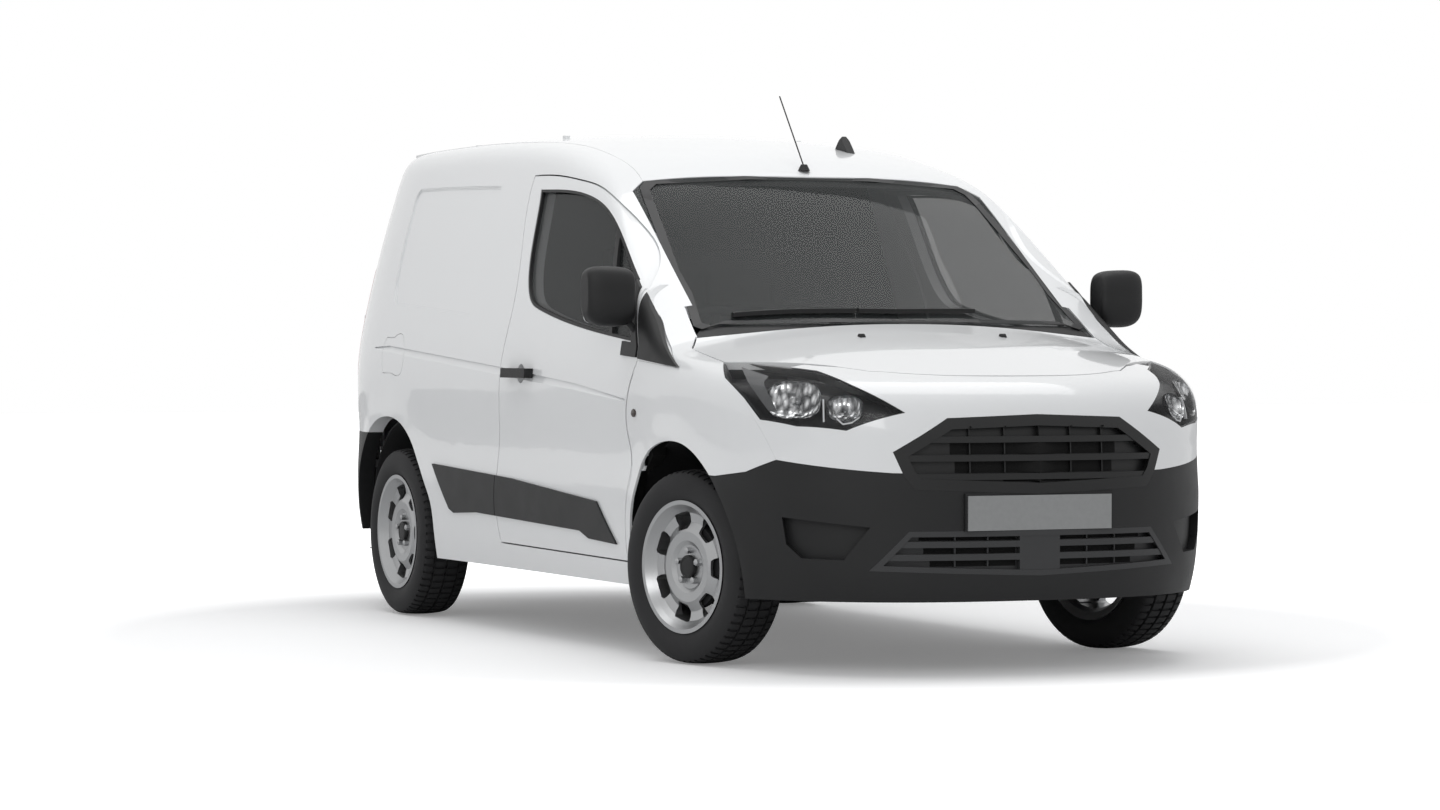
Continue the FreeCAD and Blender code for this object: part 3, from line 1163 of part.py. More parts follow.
# Underbody: floors, sills, rails, wheel houses and strut towers
front_house, front_hollow = arch_house(kingpin_x, D.front_house_in, D.half_width - 1.2 * D.wall_thick,
                                       D.house_radius)
rear_house, rear_hollow = arch_house(rear_axle, D.rear_house_in, D.half_width - D.wall_thick - 3 * D.room_gap,
                                     D.house_radius)
wide = D.half_width
step_x = D.bulkhead_x
floor_low = D.load_floor_up - D.floor_thick
blocks = [
    block(tail_x, step_x, -wide, wide, floor_low, D.load_floor_up),
    block(step_x - D.floor_thick, step_x, -wide, wide, D.cab_floor_up - D.floor_thick, D.load_floor_up),
    block(step_x - D.floor_thick, D.firewall_x, -wide, wide, D.cab_floor_up - D.floor_thick, D.cab_floor_up),
    block(D.firewall_x - D.house_thick, D.firewall_x, -D.front_house_in, D.front_house_in,
          D.cab_floor_up - D.floor_thick, D.shelf_up),
    block(D.firewall_x - D.house_thick, kingpin_x - 2 * D.floor_thick, -0.8 * wide, 0.8 * wide,
          D.shelf_up - 0.5 * D.floor_thick, D.shelf_up),
    block(step_x - D.floor_thick, tail_x + D.wall_thick, -D.rail_out - D.rail_wide / 2,
          -D.rail_out + D.rail_wide / 2, floor_low - 2 * D.floor_thick, floor_low),
    block(step_x - D.floor_thick, tail_x + D.wall_thick, D.rail_out - D.rail_wide / 2,
          D.rail_out + D.rail_wide / 2, floor_low - 2 * D.floor_thick, floor_low),
]
for side in (-1, 1):
    near, far = sorted((side * (wide - 2.4 * D.wall_thick), side * wide))
    blocks.append(block(along(-0.83), along(-0.15), near, far, D.sill_underside, D.cab_floor_up))
    near, far = sorted((side * (D.front_rail_out - D.rail_wide / 2),
                        side * (D.front_rail_out + D.rail_wide / 2)))
    blocks.append(block(D.firewall_x - D.floor_thick, nose_x - 2.7 * D.wall_thick, near, far,
                        D.front_rail_up, D.front_rail_up + 1.4 * D.rail_wide))
tray = sum_up(*blocks)
tray = carve(tray, front_hollow, mirrored(front_hollow), rear_hollow, mirrored(rear_hollow))
tray = sum_up(tray, front_house, mirrored(front_house), rear_house, mirrored(rear_house))
hub_room = D.hub_radius + 4 * D.side_clear
tray = tray.cut(block(rear_axle - hub_room, rear_axle + hub_room, -D.rear_house_in - 2 * D.house_thick,
                      D.rear_house_in + 2 * D.house_thick, 0, wheel_up + hub_room))
strut_rooms = []
tower_top = D.strut_top + 1.2 * D.floor_thick
for side in (-1, 1):
    near, far = sorted((side * (D.front_house_in - D.house_thick), side * 0.72 * wide))
    tower = block(kingpin_x - 3 * D.floor_thick, kingpin_x + 3 * D.floor_thick, near, far,
                  wheel_up + D.house_radius, tower_top)
    hollow = rod(on_kingpin(side, wheel_up), on_kingpin(side, D.strut_top - D.seat_gap),
                 1.15 * D.spring_radius)
    bore = rod(on_kingpin(side, wheel_up), on_kingpin(side, tower_top + D.floor_thick),
               D.strut_radius + D.pin_play)
    tray = tray.fuse(tower)
    strut_rooms += [hollow, bore]
tray = trimmed(tray)
tray = carve(tray, beyond_nose, mirrored(beyond_nose))
tray = carve(sum_up(tray, *bonnet_ears), *strut_rooms)
tray = carve(tray, post, mirrored(post), *leaf_rooms, *[mirrored(room) for room in leaf_rooms])
underbody = panel("underbody", one_solid(tray))

bulkhead_station = (step_x - rear_axle) / D.wheelbase
half_outline = section_curve(bulkhead_station, D.wall_thick + 3 * D.room_gap, D.roof_thick + 3 * D.room_gap,
                             D.load_floor_up, 2 * side_margin, 10, 4)
half_outline += [Vector(step_x, -y, top(step_x, y) - D.roof_thick - 3 * D.room_gap)
                 for y in (out(0.25), out(0.12))]
half_outline = [Vector(step_x, p.y, p.z) for p in half_outline]
bulkhead_loop = half_outline + [Vector(p.x, -p.y, p.z) for p in reversed(half_outline)]
bulkhead_face = Part.Face(Part.makePolygon(bulkhead_loop + bulkhead_loop[:1]))
bulkhead = panel("bulkhead", bulkhead_face.extrude(Vector(D.bulkhead_thick, 0, 0)))
engine = keep(machined("Part::Box", "engine", {"Length": "Sizes.engine_long", "Width": "Sizes.engine_wide",
                                               "Height": "Sizes.engine_high"},
                       Placement(Vector(D.engine_x - D.engine_long / 2, -D.engine_wide / 2, D.engine_up),
                                 Rotation())), "engine")
tank = keep(machined("Part::Box", "tank", {"Length": "Sizes.tank_long", "Width": "Sizes.tank_wide",
                                           "Height": "Sizes.tank_high"},
                     Placement(Vector(D.tank_x - D.tank_long / 2, D.tank_y - D.tank_wide / 2,
                                      floor_low - D.tank_high - D.seat_gap), Rotation())), "fuel_tank")

# Exhaust: pipe over the rear axle's beam and silencer behind it
over_beam = D.beam_up + D.axle_beam_radius + D.pipe_radius + 2 * D.side_clear
beam_x = rear_axle + D.beam_ahead
route = [(along(-0.2), D.pipe_up), (beam_x + 4 * D.axle_beam_radius, D.pipe_up),
         (beam_x + 2 * D.axle_beam_radius, over_beam), (beam_x - 2 * D.axle_beam_radius, over_beam),
         (beam_x - 4 * D.axle_beam_radius, D.pipe_up), (tail_x + 2 * D.wall_thick, D.pipe_up)]
route = [Vector(x, -D.pipe_out, z) for x, z in route]
pipe = sum_up(*[rod(start, end, D.pipe_radius) for start, end in zip(route, route[1:])],
              *[Part.makeSphere(D.pipe_radius, bend) for bend in route[1:-1]])
silencer = rod(Vector(D.silencer_x - D.silencer_long / 2, -D.pipe_out, D.pipe_up),
               Vector(D.silencer_x + D.silencer_long / 2, -D.pipe_out, D.pipe_up), D.silencer_radius)
hangers = [block(x - D.hanger_wide / 2, x + D.hanger_wide / 2, -D.pipe_out - D.hanger_wide / 2,
                 -D.pipe_out + D.hanger_wide / 2, D.pipe_up, floor_low - D.seat_gap)
           for x in (D.silencer_x, D.tank_x)]
exhaust = panel("exhaust", sum_up(pipe, silencer, *hangers))

# Cab: dashboard, seats and steering wheel
dash_outline = [(0.0, 0.0), (0.02, 0.75), (0.2, 1.0), (1.0, 1.0), (1.0, 0.3), (0.45, 0.0)]
dash_points = [Vector(D.dash_x + a * D.dash_long, -D.dash_half_wide,
                      D.shelf_up + D.seat_gap + b * D.dash_high)
               for a, b in dash_outline]
dash = Part.Face(Part.makePolygon(dash_points + dash_points[:1])).extrude(Vector(0, 2 * D.dash_half_wide, 0))
dash = carve(dash, beyond_side, mirrored(beyond_side), post, mirrored(post), *bonnet_ears)
column_start = Vector(D.steering_x, -D.seat_out, D.steering_up)
column_way = Vector(math.cos(math.radians(D.steering_lean_deg)), 0,
                    -math.sin(math.radians(D.steering_lean_deg)))
column = rod(column_start + column_way * (D.hub_deep + D.seat_gap),
             column_start + column_way * D.column_reach,
             D.column_radius)
dashboard = panel("dashboard", one_solid(dash.fuse(column)))


def seat(label, middle, wide, heads):
    """Cushion, back and head restraints on a plinth."""
    x0 = D.seat_x - D.seat_long / 2
    low = D.cab_floor_up
    shape = block(x0 + 1.5 * D.plinth_inset, x0 + D.seat_long - 1.5 * D.plinth_inset,
                  middle - wide / 2 + D.plinth_inset, middle + wide / 2 - D.plinth_inset,
                  low + D.seat_gap, D.cushion_up - D.seat_high / 2)
    cushion = block(x0, x0 + D.seat_long, middle - wide / 2, middle + wide / 2, D.cushion_up - D.seat_high,
                    D.cushion_up)
    cushion = cushion.makeFillet(0.3 * D.seat_high, cushion.Edges)
    back = block(x0 - D.back_thick / 2, x0 + D.back_thick / 2, middle - wide / 2, middle + wide / 2,
                 D.cushion_up - D.seat_high / 2, D.cushion_up + D.back_high)
    back = back.makeFillet(0.3 * D.back_thick, back.Edges)
    shape = sum_up(shape, cushion, back)
    for y in heads:
        rest = block(x0 - D.back_thick * 0.4, x0 + D.back_thick * 0.4, y - D.head_wide / 2,
                     y + D.head_wide / 2,
                     D.head_up, D.head_up + D.head_high)
        rest = rest.makeFillet(0.3 * D.back_thick, rest.Edges)
        stalk = block(x0 - D.stalk_thick / 2, x0 + D.stalk_thick / 2, y - D.stalk_wide / 2,
                      y + D.stalk_wide / 2,
                      D.cushion_up + D.back_high / 2, D.head_up + D.head_high / 2)
        shape = sum_up(shape, rest, stalk)
    return panel(label, one_solid(shape))


seat_driver = seat("seat_driver", -D.driver_out, D.seat_wide, [-D.driver_out])
seat_passenger = seat("seat_passenger", D.twin_out, D.twin_wide,
                      [D.twin_out - D.twin_head_out, D.twin_out + D.twin_head_out])
ring = Part.makeTorus(D.steering_radius, D.steering_grip)
hub_part = Part.makeCylinder(0.25 * D.steering_radius, 1.3 * D.hub_deep, Vector(0, 0, -0.3 * D.hub_deep))
spokes = [Part.makeBox(D.steering_radius, D.spoke_wide, D.spoke_thick, Vector(0, -D.spoke_wide / 2,
                                                                              -D.spoke_thick / 3))
          for _ in range(3)]
for count, spoke in enumerate(spokes):
    spoke.rotate(Vector(), Vector(0, 0, 1), 90 * count)
wheel_shape = sum_up(ring, hub_part, *spokes)
steering_wheel = panel("steering_wheel", wheel_shape)
steering_wheel.Placement = Placement(column_start, Rotation(Vector(0, 0, 1), column_way))

# Roof fittings, wipers and cowl
aerial_base = Vector(D.aerial_base_x, 0, top(D.aerial_base_x, 0) + D.seat_gap)
UPWARD = Vector(0, 0, 1)
aerial_way = Vector(-0.60, 0, 0.80)
aerial = sum_up(Part.makeCone(D.aerial_foot, D.aerial_foot / 2, D.aerial_foot,
                              aerial_base - D.aerial_radius * UPWARD),
                rod(aerial_base + 0.5 * D.aerial_foot * UPWARD, aerial_base + aerial_way * D.aerial_long,
                    D.aerial_radius))
aerial = one_solid(aerial.cut(roof_skin))
aerial.translate(D.seat_gap * UPWARD)
fin_base = Vector(D.fin_x, D.fin_y, top(D.fin_x, D.fin_y) - D.fin_high / 2)
fin = Part.makeCone(D.fin_long / 2, D.fin_wide / 4, 1.5 * D.fin_high, fin_base)
fin = fin.common(block(fin_base.x - D.fin_long, fin_base.x + D.fin_long, fin_base.y - D.fin_wide / 2,
                       fin_base.y + D.fin_wide / 2, 0, tall_reach))
fin = one_solid(fin.cut(top_wall(along(-0.6), along(-0.28), out(0.75), 0, 4 * D.roof_thick)))
roof_aerial = panel("roof_aerial", Part.makeCompound([aerial, fin]))
cowl_wall = top_wall(along(-0.10), along(0.02), out(0.9), D.cowl_sunk, D.cowl_thick)
cowl_shape = cowl_wall.common(plan_cutter(mirrored_runs(COWL_SHARES)))
tie_x = along(-0.0265)
tie_low = bonnet_pin_z - 0.55 * D.bonnet_arm_long
tie_inner = arm_start.y - 1.5 * D.side_clear
tie_outer = arm_end.y + 1.5 * D.side_clear
ties = [block(tie_x - D.cowl_tie / 2, tie_x + D.cowl_tie / 2, y - D.cowl_tie, y + D.cowl_tie, tie_low,
              top(tie_x, y) - D.cowl_sunk - D.cowl_thick / 2) for y in (tie_inner - D.cowl_tie,
                                                                        tie_outer + D.cowl_tie)]
ties.append(block(tie_x - D.cowl_tie / 2, tie_x + D.cowl_tie / 2, tie_inner - 2 * D.cowl_tie,
                  tie_outer + 2 * D.cowl_tie, tie_low, tie_low + D.cowl_tie))
cowl_shape = carve(cowl_shape, wing_skin, mirrored(wing_skin), side_shell, mirrored(side_shell),
                   *both(arm_room))
cowl_shape = carve(sum_up(cowl_shape, *ties, *[mirrored(tie) for tie in ties]), *bonnet_ears)
cowl = panel("cowl", one_solid(cowl_shape))

# Rear axle: beam, arms and stub axles
def stub(place):
    """Round end that carries a wheel in its bore."""
    shape = rod(Vector(0, 0, D.hub_face - D.stub_long), Vector(0, 0, D.hub_face - D.seat_gap), D.hub_radius)
    shape = shape.fuse(rod(Vector(), Vector(0, 0, D.hub_face + 2 * D.rim_gauge),
                           D.hub_bore_radius - D.pin_play))
    shape.Placement = place
    return shape


def disc(place):
    shape = rod(Vector(0, 0, D.hub_face - D.rim_gauge - D.disc_thick), Vector(0, 0, D.hub_face - D.rim_gauge),
                D.disc_radius)
    shape.Placement = place
    return shape


beam = rod(Vector(beam_x, -D.rear_arm_out, D.beam_up), Vector(beam_x, D.rear_arm_out, D.beam_up),
           D.axle_beam_radius)
rear_parts = [beam]
for side in (-1, 1):
    place = rear_place(side)
    centre = Vector(rear_axle, side * D.rear_arm_out, wheel_up)
    rear_parts.append(stub(place))
    rear_parts.append(disc(place))
    rear_parts.append(rod(centre, place.multVec(Vector(0, 0, D.hub_face - 2 / 3 * D.stub_long)),
                          0.8 * D.hub_radius))
    rear_parts.append(rod(centre, Vector(rear_axle + D.rear_arm_long, side * D.rear_arm_out,
                                         D.beam_up + D.arm_rise),
                          1.1 * D.damper_radius))
    rear_parts.append(rod(centre, Vector(rear_axle, side * D.rear_arm_out,
                                         floor_low - D.seat_gap - D.damper_foot),
                          D.damper_radius))
    rear_parts.append(block(rear_axle - D.damper_foot / 2, rear_axle + D.damper_foot / 2,
                            side * D.rear_arm_out - D.damper_foot / 2,
                            side * D.rear_arm_out + D.damper_foot / 2,
                            floor_low - 1.5 * D.damper_foot, floor_low - 2 * D.floor_thick - D.seat_gap))
rear_axle_node = panel("rear_axle", one_solid(sum_up(*rear_parts)))

subframe = sum_up(
    block(kingpin_x - D.subframe_back, kingpin_x + D.subframe_fore, -D.front_rail_out - D.floor_thick,
          D.front_rail_out + D.floor_thick, D.subframe_up, D.subframe_up + D.floor_thick),
    *[block(kingpin_x - D.arm_wide / 2, kingpin_x + D.arm_wide / 2,
            min(side * D.arm_inner, side * (D.ball_joint_out - D.ball_room)),
            max(side * D.arm_inner, side * (D.ball_joint_out - D.ball_room)),
            D.subframe_up, D.subframe_up + D.floor_thick) for side in (-1, 1)],
    *[block(kingpin_x - 3.5 * D.bracket_wide, kingpin_x - 2.5 * D.bracket_wide,
            side * D.front_rail_out - D.bracket_wide / 2, side * D.front_rail_out + D.bracket_wide / 2,
            D.subframe_up, D.front_rail_up - D.seat_gap) for side in (-1, 1)],
    *[block(kingpin_x + 2 * D.bracket_wide, kingpin_x + 3 * D.bracket_wide,
            side * 0.4 * D.engine_wide - D.bracket_wide / 2, side * 0.4 * D.engine_wide + D.bracket_wide / 2,
            D.subframe_up, D.engine_up - D.seat_gap) for side in (-1, 1)])
front_subframe = panel("front_subframe", subframe)


def knuckle(label, side):
    """Strut, spring seat, upright and stub axle of a front wheel."""
    place = front_place(side)
    shape = rod(on_kingpin(side, D.ball_joint_up), on_kingpin(side, tower_top - D.side_clear), D.strut_radius)
    spring_top = D.strut_top - D.spring_gap
    spring = rod(on_kingpin(side, spring_top - D.spring_long), on_kingpin(side, spring_top), D.spring_radius)
    carrier = rod(Vector(0, 0, -kingpin_offset), Vector(0, 0, D.hub_face - D.stub_long / 3),
                  0.8 * D.hub_radius)
    carrier.Placement = place
    shape = sum_up(shape, spring, carrier, stub(place), disc(place))
    return panel(label, one_solid(shape))


knuckle_right = knuckle("knuckle_right", -1)
knuckle_left = knuckle("knuckle_left", 1)

# Wheels: hollow tyre and pressed rim, both turned about their own Z axis
TYRE_SHARES = [(0.626, -0.34), (0.626, -0.398), (0.6845, -0.4235), (0.6845, -0.456), (0.74, -0.475),
               (0.86, -0.50), (0.965, -0.44), (1.0, -0.34), (1.0, 0.34), (0.965, 0.44), (0.86, 0.50),
               (0.74, 0.475), (0.685, 0.456), (0.661, 0.4225), (0.626, 0.3575), (0.626, 0.30), (0.715, 0.36),
               (0.86, 0.44), (0.95, 0.36), (0.95, -0.36), (0.86, -0.44), (0.715, -0.36)]
RIM_SHARES = [(0.683, -0.459), (0.683, -0.425), (0.625, -0.40), (0.58, -0.30), (0.58, 0.10), (0.625, 0.36),
              (0.66, 0.425), (0.683, 0.459), (0.64, 0.459), (0.60, 0.38), (0.555, 0.30), (0.46, 0.27),
              (0.36, 0.355), (0.27, 0.345), (0.225, 0.295), (0.0985, 0.292), (0.0985, 0.256), (0.24, 0.256),
              (0.28, 0.305), (0.35, 0.315), (0.45, 0.23), (0.56, 0.14), (0.56, -0.30), (0.60, -0.415)]


WINDOW_SHARES = [(0.385, -0.075), (0.41, -0.095), (0.50, -0.125), (0.545, -0.125), (0.56, -0.10), (0.565,
                                                                                                   0.0),
                 (0.56, 0.10), (0.545, 0.125), (0.50, 0.125), (0.41, 0.095), (0.385, 0.075)]


def turned(label, shares, place, lugs):
    """Body of revolution on a profile of shares of the tyre's radius and width."""
    body = doc.addObject("PartDesign::Body", label)
    sketch = body.newObject("Sketcher::SketchObject", label + "_profile")
    sketch.AttachmentSupport = [(body.Origin.OriginFeatures[4], "")]
    sketch.MapMode = "FlatFace"
    points = [Vector(a * D.tyre_radius, b * D.tyre_wide, 0) for a, b in shares]
    for start, end in zip(points, points[1:] + points[:1]):
        sketch.addGeometry(Part.LineSegment(start, end))
    spin = body.newObject("PartDesign::Revolution", label + "_turn")
    spin.Profile = sketch
    spin.ReferenceAxis = (sketch, ["V_Axis"])
    spin.Angle = 360
    body.Tip = spin
    if lugs:
        window = body.newObject("Sketcher::SketchObject", label + "_window")
        window.AttachmentSupport = [(body.Origin.OriginFeatures[3], "")]
        window.MapMode = "FlatFace"
        corners = [Vector(a * D.tyre_radius, b * D.tyre_radius, 0) for a, b in WINDOW_SHARES]
        for start, end in zip(corners, corners[1:] + corners[:1]):
            window.addGeometry(Part.LineSegment(start, end))
        pocket = body.newObject("PartDesign::Pocket", label + "_cut")
        pocket.Profile = window
        pocket.Type = "ThroughAll"
        pocket.Midplane = True
        repeat = body.newObject("PartDesign::PolarPattern", label + "_ring")
        repeat.Originals = [pocket]
        repeat.Axis = (body.Origin.OriginFeatures[2], [""])
        repeat.Angle = 360
        repeat.Occurrences = int(D.window_count)
        body.Tip = repeat
    doc.recompute()
    body.Placement = place
    return keep(body, label)


for name, place in (("front_right", front_place(-1)), ("front_left", front_place(1)),
                    ("rear_right", rear_place(-1)), ("rear_left", rear_place(1))):
    turned("tyre_" + name, TYRE_SHARES, place, False)
    turned("rim_" + name, RIM_SHARES, place, True)

doc.recompute()
for thing in doc.Objects:
    if "Invalid" in thing.State or "Error" in thing.State:
        raise RuntimeError(f"{thing.Label} is not sound: {thing.State}")
for thing in nodes:
    if thing.Shape.isNull() or not thing.Shape.isValid():
        raise RuntimeError(f"{thing.Label} has no valid shape")
for thing in nodes:
    thing.Shape.exportStep(f"parts/{thing.Label}.step")
    box = thing.Shape.BoundBox
    print(thing.Label, len(thing.Shape.Solids), round(box.XMin), round(box.XMax), round(box.YMin),
          round(box.YMax), round(box.ZMin), round(box.ZMax))
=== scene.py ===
import json
import math

import bmesh
import bpy
from mathutils import Matrix, Vector
from mathutils.bvhtree import BVHTree


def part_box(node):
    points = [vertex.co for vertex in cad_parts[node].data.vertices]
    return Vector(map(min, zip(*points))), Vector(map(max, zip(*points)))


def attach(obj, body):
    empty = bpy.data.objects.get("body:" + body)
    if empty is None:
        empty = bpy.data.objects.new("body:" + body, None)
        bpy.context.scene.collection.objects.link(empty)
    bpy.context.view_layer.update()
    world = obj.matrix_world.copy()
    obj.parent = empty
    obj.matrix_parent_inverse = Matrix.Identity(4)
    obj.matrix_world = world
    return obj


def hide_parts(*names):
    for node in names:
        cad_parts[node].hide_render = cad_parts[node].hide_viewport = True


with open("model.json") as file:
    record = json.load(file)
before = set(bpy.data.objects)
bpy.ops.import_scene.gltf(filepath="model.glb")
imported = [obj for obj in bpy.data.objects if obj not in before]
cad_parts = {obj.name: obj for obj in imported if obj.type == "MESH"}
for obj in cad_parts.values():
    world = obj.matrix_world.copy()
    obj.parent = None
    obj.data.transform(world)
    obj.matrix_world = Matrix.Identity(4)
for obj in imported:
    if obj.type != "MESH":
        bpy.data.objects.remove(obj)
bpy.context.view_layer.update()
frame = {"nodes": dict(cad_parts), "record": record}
node = frame["nodes"]
wheel_joint = {joint["child"]: joint for joint in frame["record"]["behaviour"]["joints"]}
front_wheel_place = Vector(wheel_joint["wheel_front_right"]["pos_m"])

# Camera and studio
# A long lens from well ahead of the van's right front corner, at the height of the wing.
# The floor and the backdrop are plain white, and soft lamps stand above and beside the van.
CAMERA_PLACE = (13.9482, -6.4607, 1.0962)
CAMERA_TURN, CAMERA_TILT, CAMERA_ROLL = math.radians(155.55), math.radians(-0.998), math.radians(0.055)
LENS = 104.67
FLOOR_REACH = 40.0
FLOOR_COLOUR = (0.92, 0.92, 0.92, 1)
FLOOR_LIFT, FLOOR_NEAR, FLOOR_FAR = 0.19, 2.3, 3.8
AMBIENT = 0.50
OVERHEAD = {"place": (0.5, 0.0, 6.0), "aim": (0.3, 0, 0), "size": (7.0, 4.0), "power": 175}
FRONT_SIDE = {"place": (8.0, -5.0, 4.5), "aim": (0.8, -0.3, 0.8), "size": (4.0, 3.0), "power": 120}

look = Vector((math.cos(CAMERA_TILT) * math.cos(CAMERA_TURN),
               math.cos(CAMERA_TILT) * math.sin(CAMERA_TURN), math.sin(CAMERA_TILT)))
across = look.cross(Vector((0, 0, 1))).normalized()
above = across.cross(look)
turned_across = across * math.cos(CAMERA_ROLL) + above * math.sin(CAMERA_ROLL)
turned_above = above * math.cos(CAMERA_ROLL) - across * math.sin(CAMERA_ROLL)
camera_data = bpy.data.cameras.new("camera")
camera_data.lens = LENS
camera_data.clip_end = 200
camera = bpy.data.objects.new("camera", camera_data)
bpy.context.scene.collection.objects.link(camera)
camera.matrix_world = (Matrix.Translation(CAMERA_PLACE)
                       @ Matrix((turned_across, turned_above, -look)).transposed().to_4x4())
bpy.context.scene.camera = camera
bpy.context.scene.view_settings.view_transform = "Standard"

bpy.ops.object.select_all(action="DESELECT")
bpy.ops.mesh.primitive_plane_add(size=2 * FLOOR_REACH)
floor = bpy.context.object
floor.name = "floor"


def new_material(name):
    material = bpy.data.materials.new(name)
    material.use_nodes = True
    nodes = material.node_tree.nodes
    return material, nodes, material.node_tree.links, nodes["Principled BSDF"]


def dress(piece, material):
    """Gives a whole piece one material."""
    piece.data.materials.clear()
    piece.data.materials.append(material)


floor_paint, nodes, links, shader = new_material("studio floor")
shader.inputs["Base Color"].default_value = FLOOR_COLOUR
shader.inputs["Roughness"].default_value = 0.7
shader.inputs["Specular IOR Level"].default_value = 0.2
seen = nodes.new("ShaderNodeLightPath")
lift = nodes.new("ShaderNodeEmission")
level = nodes.new("ShaderNodeMath")
level.operation = "MULTIPLY"
place = nodes.new("ShaderNodeTexCoord")
reach = nodes.new("ShaderNodeVectorMath")
reach.operation = "LENGTH"
fade = nodes.new("ShaderNodeMapRange")
fade.inputs["From Min"].default_value = FLOOR_NEAR
fade.inputs["From Max"].default_value = FLOOR_FAR
fade.inputs["To Min"].default_value = FLOOR_LIFT
fade.inputs["To Max"].default_value = 1.0
both_looks = nodes.new("ShaderNodeAddShader")
links.new(place.outputs["Object"], reach.inputs[0])
links.new(reach.outputs["Value"], fade.inputs["Value"])
links.new(fade.outputs["Result"], level.inputs[1])
links.new(seen.outputs["Is Camera Ray"], level.inputs[0])
links.new(level.outputs[0], lift.inputs["Strength"])
links.new(shader.outputs[0], both_looks.inputs[0])
links.new(lift.outputs[0], both_looks.inputs[1])
links.new(both_looks.outputs[0], nodes["Material Output"].inputs["Surface"])
dress(floor, floor_paint)

world = bpy.data.worlds.new("studio")
bpy.context.scene.world = world
world.use_nodes = True
sky, sky_links = world.node_tree.nodes, world.node_tree.links
ambient = sky["Background"]
ambient.inputs["Color"].default_value = (0.97, 0.98, 1.0, 1)
ambient.inputs["Strength"].default_value = AMBIENT
backdrop = sky.new("ShaderNodeBackground")
backdrop.inputs["Color"].default_value = (1, 1, 1, 1)
backdrop.inputs["Strength"].default_value = 1.0
seen = sky.new("ShaderNodeLightPath")
either = sky.new("ShaderNodeMath")
either.operation = "MAXIMUM"
third = sky.new("ShaderNodeMath")
third.operation = "MAXIMUM"
choose = sky.new("ShaderNodeMixShader")
sky_links.new(seen.outputs["Is Camera Ray"], either.inputs[0])
sky_links.new(seen.outputs["Is Glossy Ray"], either.inputs[1])
sky_links.new(either.outputs[0], third.inputs[0])
sky_links.new(seen.outputs["Is Transmission Ray"], third.inputs[1])
sky_links.new(third.outputs[0], choose.inputs[0])
sky_links.new(ambient.outputs[0], choose.inputs[1])
sky_links.new(backdrop.outputs[0], choose.inputs[2])
sky_links.new(choose.outputs[0], sky["World Output"].inputs["Surface"])


def soft_lamp(name, place, aim, size, power):
    data = bpy.data.lights.new(name, "AREA")
    data.shape = "RECTANGLE"
    data.size, data.size_y = size
    data.energy = power
    lamp = bpy.data.objects.new(name, data)
    bpy.context.scene.collection.objects.link(lamp)
    lamp.location = place
    lamp.rotation_euler = (Vector(aim) - Vector(place)).to_track_quat("-Z", "Y").to_euler()
    return lamp


soft_lamp("overhead", **OVERHEAD)
soft_lamp("front side", **FRONT_SIDE)

# Painted panels
# Pressed steel in white lacquer over primer. The coat is clear and glossy, with the faint
# orange peel of sprayed paint. Inside the front arches the panels are black, with no clear coat.
WHITE = (0.78, 0.79, 0.795, 1)
ARCH_BLACK = (0.008, 0.008, 0.008, 1)
ARCH_RADIUS, ARCH_INNER, ARCH_BACK, ARCH_UP = 0.33, 0.884, 0.06, 0.18
PANELS = ["side_right", "side_left", "sliding_door", "roof", "wing_right", "wing_left", "front_panel",
          "door_right", "door_left", "rear_door_left", "rear_door_right", "bonnet"]

lacquer, nodes, links, shader = new_material("white lacquer")
shader.inputs["Roughness"].default_value = 0.38
shader.inputs["Coat Roughness"].default_value = 0.04
place = nodes.new("ShaderNodeTexCoord")
film = nodes.new("ShaderNodeTexNoise")
film.inputs["Scale"].default_value = 2.4
film.inputs["Detail"].default_value = 4
shade = nodes.new("ShaderNodeValToRGB")
shade.color_ramp.elements[0].color = [0.975 * part for part in WHITE[:3]] + [1]
shade.color_ramp.elements[1].color = WHITE
peel = nodes.new("ShaderNodeTexNoise")
peel.inputs["Scale"].default_value = 420
relief = nodes.new("ShaderNodeBump")
relief.inputs["Strength"].default_value = 0.02
relief.inputs["Distance"].default_value = 0.0004
links.new(place.outputs["Object"], film.inputs["Vector"])
links.new(film.outputs["Fac"], shade.inputs["Fac"])
links.new(place.outputs["Object"], peel.inputs["Vector"])
links.new(peel.outputs["Fac"], relief.inputs["Height"])
links.new(relief.outputs["Normal"], shader.inputs["Coat Normal"])
parts = nodes.new("ShaderNodeSeparateXYZ")
from_axle = nodes.new("ShaderNodeVectorMath")
from_axle.operation = "MULTIPLY_ADD"
from_axle.inputs[1].default_value = (1, 0, 1)
from_axle.inputs[2].default_value = (ARCH_BACK - front_wheel_place.x, 0, -front_wheel_place.z - ARCH_UP)
distance = nodes.new("ShaderNodeVectorMath")
distance.operation = "LENGTH"
near_axle = nodes.new("ShaderNodeMath")
near_axle.operation = "LESS_THAN"
near_axle.inputs[1].default_value = ARCH_RADIUS
aside = nodes.new("ShaderNodeMath")
aside.operation = "ABSOLUTE"
inside = nodes.new("ShaderNodeMath")
inside.operation = "LESS_THAN"
inside.inputs[1].default_value = ARCH_INNER
both = nodes.new("ShaderNodeMath")
both.operation = "MULTIPLY"
coat = nodes.new("ShaderNodeMix")
coat.data_type = "RGBA"
coat.inputs["B"].default_value = ARCH_BLACK
clear = nodes.new("ShaderNodeMapRange")
clear.inputs["To Min"].default_value = 0.8
clear.inputs["To Max"].default_value = 0.0
links.new(place.outputs["Object"], parts.inputs[0])
links.new(place.outputs["Object"], from_axle.inputs[0])
links.new(from_axle.outputs["Vector"], distance.inputs[0])
links.new(distance.outputs["Value"], near_axle.inputs[0])
links.new(parts.outputs["Y"], aside.inputs[0])
links.new(aside.outputs[0], inside.inputs[0])
